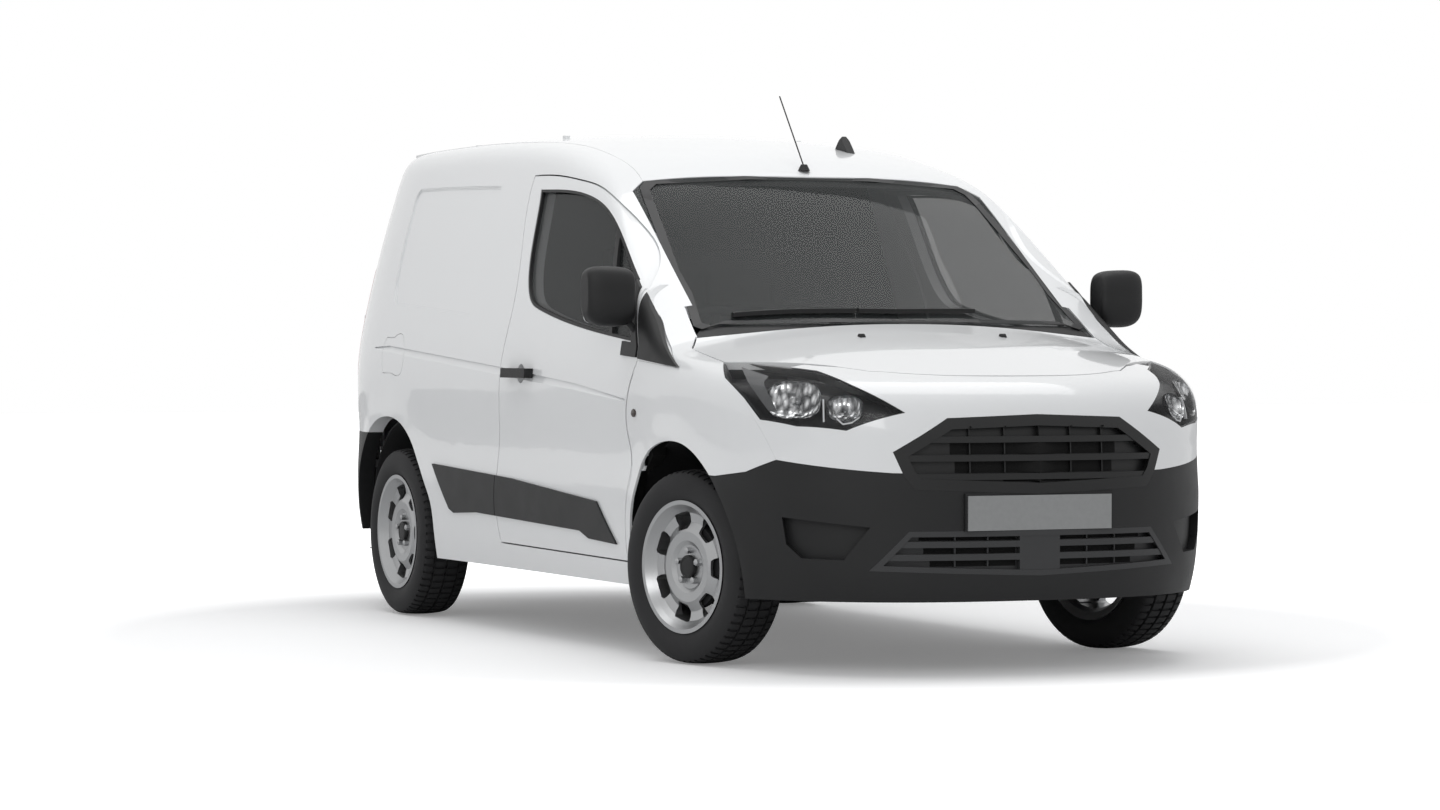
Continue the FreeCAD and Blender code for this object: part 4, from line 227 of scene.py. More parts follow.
links.new(near_axle.outputs[0], both.inputs[0])
links.new(inside.outputs[0], both.inputs[1])
links.new(both.outputs[0], coat.inputs["Factor"])
links.new(shade.outputs["Color"], coat.inputs["A"])
links.new(coat.outputs["Result"], shader.inputs["Base Color"])
links.new(both.outputs[0], clear.inputs["Value"])
links.new(clear.outputs["Result"], shader.inputs["Coat Weight"])
for name in PANELS:
    dress(node[name], lacquer)

# Black plastic
# Bumpers, cladding, mirrors and grilles are moulded in black polypropylene with a fine
# leather grain, left unpainted, so they look dull and slightly grey at a low angle.
BLACK = (0.0085, 0.0087, 0.0092, 1)
GRAIN = {"roughness": 0.52, "scale": 900, "depth": 0.25}
TRIM_INNER = 0.834
MOULDINGS = ["front_bumper", "rear_bumper", "cowl", "door_trim_right", "door_trim_left",
             "roof_aerial", "fuel_tank", "mirror_right", "mirror_left"]


def grained(name, colour, roughness, scale, depth):
    """Moulded plastic with a fine grain and slight changes of sheen."""
    material, nodes, links, shader = new_material(name)
    shader.inputs["Base Color"].default_value = colour
    shader.inputs["Specular IOR Level"].default_value = 0.32
    place = nodes.new("ShaderNodeTexCoord")
    grain = nodes.new("ShaderNodeTexVoronoi")
    grain.inputs["Scale"].default_value = scale
    cloud = nodes.new("ShaderNodeTexNoise")
    cloud.inputs["Scale"].default_value = 9
    sheen = nodes.new("ShaderNodeMapRange")
    sheen.inputs["To Min"].default_value = roughness - 0.06
    sheen.inputs["To Max"].default_value = roughness + 0.06
    relief = nodes.new("ShaderNodeBump")
    relief.inputs["Strength"].default_value = depth
    relief.inputs["Distance"].default_value = 0.0006
    links.new(place.outputs["Object"], grain.inputs["Vector"])
    links.new(place.outputs["Object"], cloud.inputs["Vector"])
    links.new(cloud.outputs["Fac"], sheen.inputs["Value"])
    links.new(sheen.outputs["Result"], shader.inputs["Roughness"])
    links.new(grain.outputs["Distance"], relief.inputs["Height"])
    links.new(relief.outputs["Normal"], shader.inputs["Normal"])
    return material


black_grain = grained("grained black plastic", BLACK, **GRAIN)
for name in MOULDINGS:
    dress(node[name], black_grain)

# The tip of the black corner trim, where it turns over the pillar, is in body colour.
trim_black = grained("side trim plastic", BLACK, **GRAIN)
nodes, links = trim_black.node_tree.nodes, trim_black.node_tree.links
parts = nodes.new("ShaderNodeSeparateXYZ")
aside = nodes.new("ShaderNodeMath")
aside.operation = "ABSOLUTE"
on_pillar = nodes.new("ShaderNodeMath")
on_pillar.operation = "LESS_THAN"
on_pillar.inputs[1].default_value = TRIM_INNER
tone = nodes.new("ShaderNodeMix")
tone.data_type = "RGBA"
tone.inputs["A"].default_value = BLACK
tone.inputs["B"].default_value = WHITE
links.new(nodes["Texture Coordinate"].outputs["Object"], parts.inputs[0])
links.new(parts.outputs["Y"], aside.inputs[0])
links.new(aside.outputs[0], on_pillar.inputs[0])
links.new(on_pillar.outputs[0], tone.inputs["Factor"])
links.new(tone.outputs["Result"], nodes["Principled BSDF"].inputs["Base Color"])
dress(node["side_trims"], trim_black)

# Glass
# Windscreen and door windows are tinted safety glass, green-grey and clear. The seal behind
# the windscreen's edge is black rubber.
glass, nodes, links, shader = new_material("tinted safety glass")
shader.inputs["Base Color"].default_value = (0.030, 0.034, 0.034, 1)
shader.inputs["Roughness"].default_value = 0.02
shader.inputs["Specular IOR Level"].default_value = 0.16
shader.inputs["Alpha"].default_value = 0.42
for name in ("windscreen", "door_glass_right", "door_glass_left"):
    dress(node[name], glass)
seal_rubber = grained("black glass print and rubber", (0.010, 0.010, 0.011, 1), 0.42, 600, 0.12)
dress(node["screen_seal"], seal_rubber)


def faces_where(piece, test):
    """Selects, in edit mode, the faces whose middle and normal pass a test."""
    bpy.ops.mesh.select_mode(type="FACE")
    bpy.ops.mesh.select_all(action="DESELECT")
    cage = bmesh.from_edit_mesh(piece.data)
    for face in cage.faces:
        face.select_set(test(face.calc_center_median(), face.normal))
    bmesh.update_edit_mesh(piece.data)


def start_block(name, low, high):
    """Adds a block between two corners, with its place in its mesh, and opens it for editing."""
    low, high = Vector(low), Vector(high)
    bpy.ops.object.select_all(action="DESELECT")
    bpy.ops.mesh.primitive_cube_add(size=1, location=(low + high) / 2, scale=high - low)
    piece = bpy.context.object
    piece.name = name
    bpy.ops.object.transform_apply(location=True, rotation=True, scale=True)
    bpy.ops.object.mode_set(mode="EDIT")
    bpy.ops.mesh.select_mode(type="FACE")
    bpy.ops.mesh.select_all(action="SELECT")
    return piece


def start_ring(name, radius, height, count):
    """Adds a circle about the Z axis and opens it for editing."""
    bpy.ops.object.select_all(action="DESELECT")
    bpy.ops.mesh.primitive_circle_add(vertices=count, radius=radius, location=(0, 0, height))
    piece = bpy.context.object
    piece.name = name
    bpy.ops.object.transform_apply(location=True, rotation=True, scale=True)
    bpy.ops.object.mode_set(mode="EDIT")
    bpy.ops.mesh.select_mode(type="VERT")
    bpy.ops.mesh.select_all(action="SELECT")
    return piece


def turn_profile(profile):
    """Extrudes the selected ring through the rest of a profile of radius and height."""
    for (radius, height), (wider, higher) in zip(profile, profile[1:]):
        bpy.ops.mesh.extrude_region_move(TRANSFORM_OT_translate={"value": (0, 0, higher - height)})
        share = wider / radius
        bpy.ops.transform.resize(value=(share, share, 1), center_override=(0, 0, higher))


def finish_piece(piece, material, body, angle=35):
    bpy.ops.mesh.select_all(action="SELECT")
    bpy.ops.mesh.normals_make_consistent(inside=False)
    bpy.ops.object.mode_set(mode="OBJECT")
    bpy.ops.object.select_all(action="DESELECT")
    piece.select_set(True)
    bpy.context.view_layer.objects.active = piece
    bpy.ops.object.shade_smooth_by_angle(angle=math.radians(angle))
    dress(piece, material)
    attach(piece, body)
    return piece


def copied(piece, name, matrix, body):
    """A copy of a finished piece with its own mesh, moved in the mesh."""
    other = bpy.data.objects.new(name, piece.data.copy())
    bpy.context.scene.collection.objects.link(other)
    other.data.transform(matrix)
    if matrix.determinant() < 0:
        other.data.flip_normals()
    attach(other, body)
    return other


def tree_of(name):
    """Faces of a CAD node, to set pieces down on."""
    mesh = node[name].data
    return BVHTree.FromPolygons([node[name].matrix_world @ vertex.co for vertex in mesh.vertices],
                                [list(face.vertices) for face in mesh.polygons])


MIRROR = Matrix.Diagonal((1, -1, 1, 1))

# Screen band
# The black print and rubber lip round the windscreen is one flat band that follows the glass
# just inside its edge, and reaches out to close the two lower corners against the wings.
SCREEN_EDGE = [(0.0, 1.127), (0.25, 1.128), (0.50, 1.128), (0.66, 1.121), (0.722, 1.104), (0.746, 1.114),
               (0.741, 1.135), (0.722, 1.165), (0.717, 1.22), (0.716, 1.30), (0.703, 1.36), (0.683, 1.46),
               (0.663, 1.56), (0.650, 1.602), (0.615, 1.624), (0.50, 1.638), (0.25, 1.646), (0.0, 1.647)]
BAND_INNER_SHARE, BAND_LOW, BAND_HIGH = 0.955, 0.0003, 0.0026
FIRM_SHARES = (0.90, 0.95)
SCREEN_HEART = Vector((0.0, 1.38))
SCREEN_OUT = Vector((0.55, 0, 0.83))

screen_tree = tree_of("windscreen")
edge_round = SCREEN_EDGE + [(-y, z) for y, z in reversed(SCREEN_EDGE[1:-1])]


def on_glass(y, z):
    """The point on the outside of the windscreen at a width and a height, carried on past its edge."""
    flat = Vector((y, z)) - SCREEN_HEART
    spots = []
    for share in FIRM_SHARES:
        width, height = SCREEN_HEART + flat * share
        spots.append(screen_tree.ray_cast(Vector((3, width, height)), Vector((-1, 0, 0)))[0])
    return Vector((spots[1].x + (spots[1].x - spots[0].x), y, z))


# The ring starts as a unit band: its radius tells the inner edge, its height the outer face.
band = start_ring("screen_band", 1, 0, len(edge_round))
turn_profile([(1, 0), (1, 1), (0.5, 1), (0.5, 0)])
cage = bmesh.from_edit_mesh(band.data)
bpy.ops.mesh.select_mode(type="EDGE")
bpy.ops.mesh.select_all(action="DESELECT")
for edge in cage.edges:
    edge.select_set(len(edge.link_faces) == 1)
bmesh.update_edit_mesh(band.data)
bpy.ops.mesh.bridge_edge_loops()
cage = bmesh.from_edit_mesh(band.data)
for vertex in cage.verts:
    turn = math.atan2(vertex.co.y, vertex.co.x) % math.tau
    y, z = edge_round[round(turn / math.tau * len(edge_round)) % len(edge_round)]
    if math.hypot(vertex.co.x, vertex.co.y) < 0.75:
        y, z = SCREEN_HEART + (Vector((y, z)) - SCREEN_HEART) * BAND_INNER_SHARE
    vertex.co = on_glass(y, z) + SCREEN_OUT * (BAND_HIGH if vertex.co.z > 0.5 else BAND_LOW)
bmesh.update_edit_mesh(band.data)
finish_piece(band, seal_rubber, "body")

# Headlamps
# Each lamp has a black tray with a grey insert at its rear, two fluted reflector dishes close
# behind a clear lens, a bright divider between them and a thin light strip below.
LAMP_HEART = Vector((1.94, -0.70, 0.855))
LAMP_AIM = Vector((0.888, -0.459, 0)).normalized()
LAMP_ALONG = Vector((0, 0, 1)).cross(LAMP_AIM)
DISHES = [((-0.040, 0.025), (0.088, 0.060)), ((0.124, 0.0), (0.058, 0.042))]
DISH_PROFILE = [(1.0, -0.009), (0.97, -0.014), (0.88, -0.025), (0.70, -0.036), (0.45, -0.043),
                (0.20, -0.045), (0.17, -0.030), (0.08, -0.027)]
DISH_SQUARE = 0.75
INSERT = [((-0.217, 0.128), (-0.124, 0.100)), ((-0.187, 0.075), (-0.141, 0.078)),
          ((-0.122, -0.010), (-0.094, -0.010))]
INSERT_DEEP, INSERT_THICK = 0.009, 0.003
BAR_DEEP, DIVIDER_THICK, STRIP_THICK = 0.007, 0.010, 0.005
DRAW_STEPS = 60
DIVIDER = [((0.0525, 0.028), (0.0575, 0.028)), ((0.0545, -0.044), (0.0595, -0.044))]
STRIP = [((0.098, -0.036), (0.098, -0.031)), ((0.118, -0.053), (0.118, -0.048)),
         ((0.147, -0.048), (0.147, -0.043)), ((0.170, -0.031), (0.172, -0.026))]

lens, nodes, links, shader = new_material("clear lamp lens")
shader.inputs["Base Color"].default_value = (0.06, 0.062, 0.065, 1)
shader.inputs["Roughness"].default_value = 0.03
shader.inputs["Alpha"].default_value = 0.10
dress(node["headlamps"], lens)
tray = grained("black lamp tray", (0.008, 0.008, 0.009, 1), 0.35, 500, 0.1)
dress(node["headlamp_housings"], tray)
insert_grey = grained("grey lamp insert", (0.11, 0.112, 0.115, 1), 0.45, 600, 0.1)
# Reflector metal: real fluted relief, with painted reflections in its colour.
dish_metal_with_painted_reflections, nodes, links, shader = new_material("fluted reflector metal with painted reflections")
shader.inputs["Metallic"].default_value = 1.0
place = nodes.new("ShaderNodeTexCoord")
stretch = nodes.new("ShaderNodeMapping")
stretch.inputs["Scale"].default_value = (1, 1, 0.4)
flutes_and_painted_reflections = nodes.new("ShaderNodeTexVoronoi")
flutes_and_painted_reflections.inputs["Scale"].default_value = 62
# Painted reflections: the base colour goes light and dark with the flute pattern, standing for the dark tray
# and lens edges mirrored in the facets.
shade = nodes.new("ShaderNodeValToRGB")
shade.color_ramp.elements[0].position = 0.15
shade.color_ramp.elements[0].color = (0.80, 0.81, 0.82, 1)
shade.color_ramp.elements[1].position = 0.75
shade.color_ramp.elements[1].color = (0.09, 0.092, 0.095, 1)
sheen = nodes.new("ShaderNodeMapRange")
sheen.inputs["To Min"].default_value = 0.06
sheen.inputs["To Max"].default_value = 0.20
relief = nodes.new("ShaderNodeBump")
relief.inputs["Strength"].default_value = 0.7
relief.inputs["Distance"].default_value = 0.004
links.new(place.outputs["Object"], stretch.inputs["Vector"])
links.new(stretch.outputs["Vector"], flutes_and_painted_reflections.inputs["Vector"])
links.new(flutes_and_painted_reflections.outputs["Distance"], shade.inputs["Fac"])
links.new(shade.outputs["Color"], shader.inputs["Base Color"])
links.new(flutes_and_painted_reflections.outputs["Distance"], sheen.inputs["Value"])
links.new(sheen.outputs["Result"], shader.inputs["Roughness"])
links.new(flutes_and_painted_reflections.outputs["Distance"], relief.inputs["Height"])
links.new(relief.outputs["Normal"], shader.inputs["Normal"])
light_bar, nodes, links, shader = new_material("frosted light bar")
shader.inputs["Base Color"].default_value = (0.82, 0.83, 0.84, 1)
place = nodes.new("ShaderNodeTexCoord")
frost = nodes.new("ShaderNodeTexNoise")
frost.inputs["Scale"].default_value = 300
relief = nodes.new("ShaderNodeBump")
relief.inputs["Strength"].default_value = 0.15
relief.inputs["Distance"].default_value = 0.0005
links.new(place.outputs["Object"], frost.inputs["Vector"])
links.new(frost.outputs["Fac"], relief.inputs["Height"])
links.new(relief.outputs["Normal"], shader.inputs["Normal"])
lens_tree = tree_of("headlamps")


def behind_lens(along, lift, deep):
    """The point at a depth behind the right lens, drawn in towards its heart where there is no lens."""
    for step in range(DRAW_STEPS):
        heart_share = 1 - step / DRAW_STEPS
        start = LAMP_HEART + LAMP_ALONG * along * heart_share + Vector((0, 0, lift * heart_share))
        spot = lens_tree.ray_cast(start + LAMP_AIM, -LAMP_AIM)[0]
        if spot is not None:
            return spot - LAMP_AIM * deep


def lamp_plate(name, rows, deep, thick, material):
    """A thin plate behind the lens, between a left and a right edge given row by row."""
    piece = start_block(name, (-0.5, 0, 0), (0.5, 1, 1))
    bpy.ops.mesh.subdivide(number_cuts=8)
    cage = bmesh.from_edit_mesh(piece.data)
    for vertex in cage.verts:
        at = min(vertex.co.y * (len(rows) - 1), len(rows) - 1.001)
        part = at - int(at)
        left = Vector(rows[int(at)][0]).lerp(Vector(rows[int(at) + 1][0]), part)
        right = Vector(rows[int(at)][1]).lerp(Vector(rows[int(at) + 1][1]), part)
        along, lift = left.lerp(right, vertex.co.x + 0.5)
        vertex.co = behind_lens(along, lift, deep + thick * vertex.co.z)
    bmesh.update_edit_mesh(piece.data)
    finish_piece(piece, material, "body")
    copied(piece, name.replace("right", "left"), MIRROR, "body")


for count, ((along, lift), (half_long, half_high)) in enumerate(DISHES):
    dish = start_ring(f"lamp_dish_{count + 1}_right", 1, DISH_PROFILE[0][1], 64)
    turn_profile(DISH_PROFILE)
    bpy.ops.mesh.edge_face_add()
    cage = bmesh.from_edit_mesh(dish.data)
    for vertex in cage.verts:
        radius, turn = math.hypot(vertex.co.x, vertex.co.y), math.atan2(vertex.co.y, vertex.co.x)
        wide = math.copysign(abs(math.cos(turn)) ** DISH_SQUARE, math.cos(turn))
        high = math.copysign(abs(math.sin(turn)) ** DISH_SQUARE, math.sin(turn))
        vertex.co = behind_lens(along + half_long * radius * wide, lift + half_high * radius * high,
                                -vertex.co.z)
    bmesh.update_edit_mesh(dish.data)
    finish_piece(dish, dish_metal_with_painted_reflections, "body")
    copied(dish, f"lamp_dish_{count + 1}_left", MIRROR, "body")
lamp_plate("lamp_insert_right", INSERT, INSERT_DEEP, INSERT_THICK, insert_grey)
lamp_plate("lamp_divider_right", DIVIDER, BAR_DEEP, DIVIDER_THICK, light_bar)
lamp_plate("lamp_strip_right", STRIP, BAR_DEEP, STRIP_THICK, light_bar)

# Rear lamps
# Tall red lenses on the rear corners, with fine ribs moulded on their inner face.
red_lens, nodes, links, shader = new_material("red lamp lens")
shader.inputs["Base Color"].default_value = (0.33, 0.008, 0.010, 1)
shader.inputs["Roughness"].default_value = 0.08
shader.inputs["Coat Weight"].default_value = 1.0
place = nodes.new("ShaderNodeTexCoord")
ribs = nodes.new("ShaderNodeTexWave")
ribs.bands_direction = "Z"
ribs.inputs["Scale"].default_value = 45
relief = nodes.new("ShaderNodeBump")
relief.inputs["Strength"].default_value = 0.35
relief.inputs["Distance"].default_value = 0.001
links.new(place.outputs["Object"], ribs.inputs["Vector"])
links.new(ribs.outputs["Fac"], relief.inputs["Height"])
links.new(relief.outputs["Normal"], shader.inputs["Normal"])
dress(node["tail_lamps"], red_lens)

# Grille ribs
# Black mesh lies on the backs of both grilles between the bars, and thin upright ribs stand
# in front of it. The mesh is darker and more matt than the plastic: painted shade for the dark
# behind the openings. The lower grille is moulded in a lighter grey.
UPPER_ROWS = [(0.7085, 0.7445, 0.30), (0.6495, 0.6860, 0.285), (0.6215, 0.6270, 0.12)]
LOWER_ROWS = [(0.4350, 0.4465, 0.40), (0.3935, 0.4120, 0.385), (0.3525, 0.3715, 0.365)]
UPPER_RIBS = [-0.24, -0.12, 0.12, 0.24]
LOWER_RIBS = [-0.29, -0.18, 0.18, 0.29]
BLOCK_HALF = 0.078
TOP_ROW = (0.7670, 0.7985)
RIB_HALF, RIB_PROUD, MESH_PROUD, BACK_SUNK = 0.0022, 0.012, 0.0012, 0.001
LOWER_TOP = 0.5

grille_black, nodes, links, shader = new_material("two tone grille plastic")
shader.inputs["Roughness"].default_value = 0.42
shader.inputs["Specular IOR Level"].default_value = 0.35
place = nodes.new("ShaderNodeTexCoord")
parts = nodes.new("ShaderNodeSeparateXYZ")
low_down = nodes.new("ShaderNodeMath")
low_down.operation = "LESS_THAN"
low_down.inputs[1].default_value = LOWER_TOP
tone = nodes.new("ShaderNodeMix")
tone.data_type = "RGBA"
tone.inputs["A"].default_value = (0.0085, 0.0087, 0.009, 1)
tone.inputs["B"].default_value = (0.034, 0.0345, 0.036, 1)
grain = nodes.new("ShaderNodeTexVoronoi")
grain.inputs["Scale"].default_value = 1400
relief = nodes.new("ShaderNodeBump")
relief.inputs["Strength"].default_value = 0.08
relief.inputs["Distance"].default_value = 0.0006
links.new(place.outputs["Object"], parts.inputs[0])
links.new(parts.outputs["Z"], low_down.inputs[0])
links.new(low_down.outputs[0], tone.inputs["Factor"])
links.new(tone.outputs["Result"], shader.inputs["Base Color"])
links.new(place.outputs["Object"], grain.inputs["Vector"])
links.new(grain.outputs["Distance"], relief.inputs["Height"])
links.new(relief.outputs["Normal"], shader.inputs["Normal"])
dress(node["grilles"], grille_black)
# The mesh is a real part, but its extra-dark matt black is painted shade for the openings behind the bars.
mesh_black_and_painted_shade = grained("black grille mesh with painted shade", (0.0015, 0.0015, 0.0015, 1), 0.9, 220, 0.6)
grille_tree = tree_of("grilles")


def laid_on_grille(name, patches, proud, material):
    """Thin patches between two widths and two heights, laid on the front of the grilles as one piece."""
    first = patches[0]
    piece = start_block(name, (-1, first[0], first[2]), (1, first[1], first[3]))
    for right, left, low, high in patches[1:]:
        bpy.ops.mesh.primitive_cube_add(size=1, location=(0, (right + left) / 2, (low + high) / 2),
                                        scale=(2, left - right, high - low))
    bpy.ops.mesh.select_all(action="SELECT")
    bpy.ops.mesh.subdivide(number_cuts=7)
    cage = bmesh.from_edit_mesh(piece.data)
    for vertex in cage.verts:
        spot = grille_tree.ray_cast(Vector((3, vertex.co.y, vertex.co.z)), Vector((-1, 0, 0)))[0]
        vertex.co.x = spot.x + (proud if vertex.co.x > 0 else -BACK_SUNK)
    bmesh.update_edit_mesh(piece.data)
    return finish_piece(piece, material, "body")


laid_on_grille("upper_grille_mesh", [(-half, half, low, high) for low, high, half in UPPER_ROWS],
               MESH_PROUD, mesh_black_and_painted_shade)
laid_on_grille("lower_grille_mesh", [patch for low, high, half in LOWER_ROWS
                                     for patch in ((-half, -BLOCK_HALF, low, high),
                                                   (BLOCK_HALF, half, low, high))], MESH_PROUD, mesh_black_and_painted_shade)
laid_on_grille("upper_grille_ribs", [(y - RIB_HALF, y + RIB_HALF, low, high) for y in UPPER_RIBS
                                     for low, high in [row[:2] for row in UPPER_ROWS[:2]] + [TOP_ROW]],
               RIB_PROUD, grille_black)
laid_on_grille("lower_grille_ribs", [(y - RIB_HALF, y + RIB_HALF, low, high) for y in LOWER_RIBS
                                     for low, high, half in LOWER_ROWS], RIB_PROUD, grille_black)

# Number plate
# A blank pressed plate in light grey enamel, slightly cloudy from road dirt.
plate_paint, nodes, links, shader = new_material("grey plate enamel")
shader.inputs["Roughness"].default_value = 0.4
place = nodes.new("ShaderNodeTexCoord")
fleck = nodes.new("ShaderNodeTexNoise")
fleck.inputs["Scale"].default_value = 60
fleck.inputs["Detail"].default_value = 6
shade = nodes.new("ShaderNodeValToRGB")
shade.color_ramp.elements[0].color = (0.235, 0.24, 0.24, 1)
shade.color_ramp.elements[1].color = (0.28, 0.285, 0.285, 1)
links.new(place.outputs["Object"], fleck.inputs["Vector"])
links.new(fleck.outputs["Fac"], shade.inputs["Fac"])
links.new(shade.outputs["Color"], shader.inputs["Base Color"])
dress(node["number_plate"], plate_paint)

# Wheels and tyres
# Pressed steel wheels in silver lacquer, each with a black cap and five nuts. The tyres
# are turned from their profile, with three grooves round the tread and blocks cut across.
TYRE_PROFILE = [(0.2145, 0.0840), (0.2235, 0.0915), (0.2420, 0.0985), (0.2620, 0.1015), (0.2830, 0.0995),
                (0.3000, 0.0945), (0.3095, 0.0885), (0.3145, 0.0820), (0.3175, 0.0700), (0.3192, 0.0560),
                (0.3192, 0.0545), (0.3120, 0.0530), (0.3120, 0.0465), (0.3200, 0.0450), (0.3212, 0.0250),
                (0.3215, 0.0050), (0.3140, 0.0040)]
TYRE_PARTS, PITCH = 192, 3
TREAD_RADIUS, TREAD_SHIFT, TREAD_SIDE, CUT_DEEP = 0.311, 0.05, 0.75, 0.0055
CAP_PROFILE = [(0.0385, 0.0), (0.0385, 0.010), (0.0365, 0.0135), (0.0300, 0.0155), (0.0285, 0.0140),
               (0.0120, 0.0150), (0.0040, 0.0152)]
NUT_RING, NUT_SIZE, NUT_HIGH, HUB_OUT, NUT_COUNT = 0.054, 0.0115, 0.016, 0.060, 5
NUT_PROFILE = [(NUT_SIZE, 0), (NUT_SIZE, NUT_HIGH), (0.8 * NUT_SIZE, 1.12 * NUT_HIGH),
               (0.5 * NUT_SIZE, 1.25 * NUT_HIGH)]
CORNERS = ("front_right", "front_left", "rear_right", "rear_left")

silver, nodes, links, shader = new_material("silver wheel lacquer")
shader.inputs["Base Color"].default_value = (0.37, 0.375, 0.38, 1)
shader.inputs["Metallic"].default_value = 0.9
place = nodes.new("ShaderNodeTexCoord")
flakes = nodes.new("ShaderNodeTexVoronoi")
flakes.inputs["Scale"].default_value = 1500
sheen = nodes.new("ShaderNodeMapRange")
sheen.inputs["To Min"].default_value = 0.26
sheen.inputs["To Max"].default_value = 0.38
relief = nodes.new("ShaderNodeBump")
relief.inputs["Strength"].default_value = 0.05
relief.inputs["Distance"].default_value = 0.0003
links.new(place.outputs["Object"], flakes.inputs["Vector"])
links.new(flakes.outputs["Distance"], sheen.inputs["Value"])
links.new(sheen.outputs["Result"], shader.inputs["Roughness"])
links.new(flakes.outputs["Distance"], relief.inputs["Height"])
links.new(relief.outputs["Normal"], shader.inputs["Normal"])
tyre_rubber = grained("tyre rubber", (0.017, 0.017, 0.018, 1), 0.72, 320, 0.3)

full_profile = TYRE_PROFILE + [(radius, -height) for radius, height in reversed(TYRE_PROFILE)]
tyre = start_ring("tyre", full_profile[0][0], full_profile[0][1], TYRE_PARTS)
turn_profile(full_profile)
bpy.ops.mesh.select_all(action="SELECT")
cage = bmesh.from_edit_mesh(tyre.data)
rims = [edge for edge in cage.edges if len(edge.link_faces) == 1]
bpy.ops.mesh.select_mode(type="EDGE")
bpy.ops.mesh.select_all(action="DESELECT")
for edge in rims:
    edge.select_set(True)
bmesh.update_edit_mesh(tyre.data)
bpy.ops.mesh.bridge_edge_loops()


def on_block_cut(middle, normal):
    """Every third column of faces on the tread, off the grooves."""
    turn = int(round((math.atan2(middle.y, middle.x) % math.tau) / math.tau * TYRE_PARTS - 0.5))
    radius = math.hypot(middle.x, middle.y)
    shift = 1 if abs(middle.z) < TREAD_SHIFT else 0
    return radius > TREAD_RADIUS and (turn + shift) % PITCH == 0 and abs(normal.z) < TREAD_SIDE


bpy.ops.mesh.select_all(action="SELECT")
bpy.ops.mesh.normals_make_consistent(inside=False)
faces_where(tyre, on_block_cut)
bpy.ops.mesh.extrude_region_shrink_fatten(TRANSFORM_OT_shrink_fatten={"value": -CUT_DEEP})
finish_piece(tyre, tyre_rubber, "body", 28)

cap = start_ring("cap", CAP_PROFILE[0][0], CAP_PROFILE[0][1], 40)
turn_profile(CAP_PROFILE)
bpy.ops.mesh.edge_face_add()
finish_piece(cap, black_grain, "body")
nuts = start_ring("nuts", NUT_SIZE, 0, 6)
turn_profile(NUT_PROFILE)
bpy.ops.mesh.edge_face_add()
bpy.ops.mesh.select_all(action="SELECT")
bpy.ops.transform.translate(value=(NUT_RING, 0, 0))
for count in range(NUT_COUNT - 1):
    bpy.ops.mesh.duplicate()
    bpy.ops.transform.rotate(value=math.tau / NUT_COUNT, orient_axis="Z", center_override=(0, 0, 0))
finish_piece(nuts, silver, "body")

for corner in CORNERS:
    joint = wheel_joint["wheel_" + corner]
    outward = Vector(joint["axis"]).normalized()
    if outward.y * (-1 if corner.endswith("right") else 1) < 0:
        outward = -outward
    stand = Matrix.Translation(joint["pos_m"]) @ outward.to_track_quat("Z", "X").to_matrix().to_4x4()
    body = "wheel_" + corner
    new_tyre = copied(tyre, "road_tyre_" + corner, stand, body)
    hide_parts("tyre_" + corner)
    raised = stand @ Matrix.Translation((0, 0, HUB_OUT))
    copied(cap, "hub_cap_" + corner, raised, body)
    copied(nuts, "wheel_nuts_" + corner, raised, body)
    dress(node["rim_" + corner], silver)
for spare in (tyre, cap, nuts):
    bpy.data.objects.remove(spare)

# Seats
# Woven black cloth over foam: each seat has a cushion, a leaning back and head restraints,
# crowned in the middle and drawn in at the sewn channels.
SEATS = {"driver": (-0.650, -0.150, [-0.400]), "passenger": (-0.141, 0.439, [0.005, 0.293])}
cloth = grained("woven seat cloth", (0.014, 0.014, 0.015, 1), 0.88, 500, 0.3)
LEAN = math.radians(12)
CUSHION_BACK, CUSHION_FRONT, CUSHION_LOW, CUSHION_HIGH = -0.10, 0.40, 0.42, 0.60
BACK_REAR, BACK_FRONT, BACK_LOW, BACK_HIGH, BACK_SHIFT = -0.11, 0.0, 0.58, 1.17, 0.03
HEAD_REAR, HEAD_FRONT, HEAD_HALF, HEAD_LOW, HEAD_HIGH = -0.165, -0.075, 0.125, 1.19, 1.40
CUSHION_MARGIN, BACK_MARGIN = 0.01, 0.015
SEWN_WIDE_SHARE, SEWN_DEEP, DRAWN_IN_SHARE = 0.1, 0.012, 0.04


def pad(name, low, high, crown, channels):
    """A foam block rounded and crowned on its big faces, with sewn channels across."""
    piece = start_block(name, low, high)
    bpy.ops.mesh.subdivide(number_cuts=7)
    middle = (Vector(low) + Vector(high)) / 2
    half = (Vector(high) - Vector(low)) / 2
    cage = bmesh.from_edit_mesh(piece.data)
    for vertex in cage.verts:
        share = [(vertex.co[axis] - middle[axis]) / half[axis] for axis in range(3)]
        thin = min(range(3), key=lambda axis: half[axis])
        others = [axis for axis in range(3) if axis != thin]
        fall = (1 - share[others[0]] ** 4) * (1 - share[others[1]] ** 4)
        vertex.co[thin] = middle[thin] + half[thin] * share[thin] * (1 - crown + crown * fall)
        for axis in others:
            vertex.co[axis] = middle[axis] + half[axis] * share[axis] * (1 - DRAWN_IN_SHARE * share[thin] ** 2)
        for line in channels:
            near = math.exp(-((share[others[0]] - line) / SEWN_WIDE_SHARE) ** 2)
            vertex.co[thin] -= SEWN_DEEP * near * share[thin]
    bmesh.update_edit_mesh(piece.data)
    bpy.ops.object.mode_set(mode="OBJECT")
    smooth = piece.modifiers.new("round", "SUBSURF")
    smooth.levels = 2
    bpy.ops.object.modifier_apply(modifier="round")
    bpy.ops.object.mode_set(mode="EDIT")
    return piece


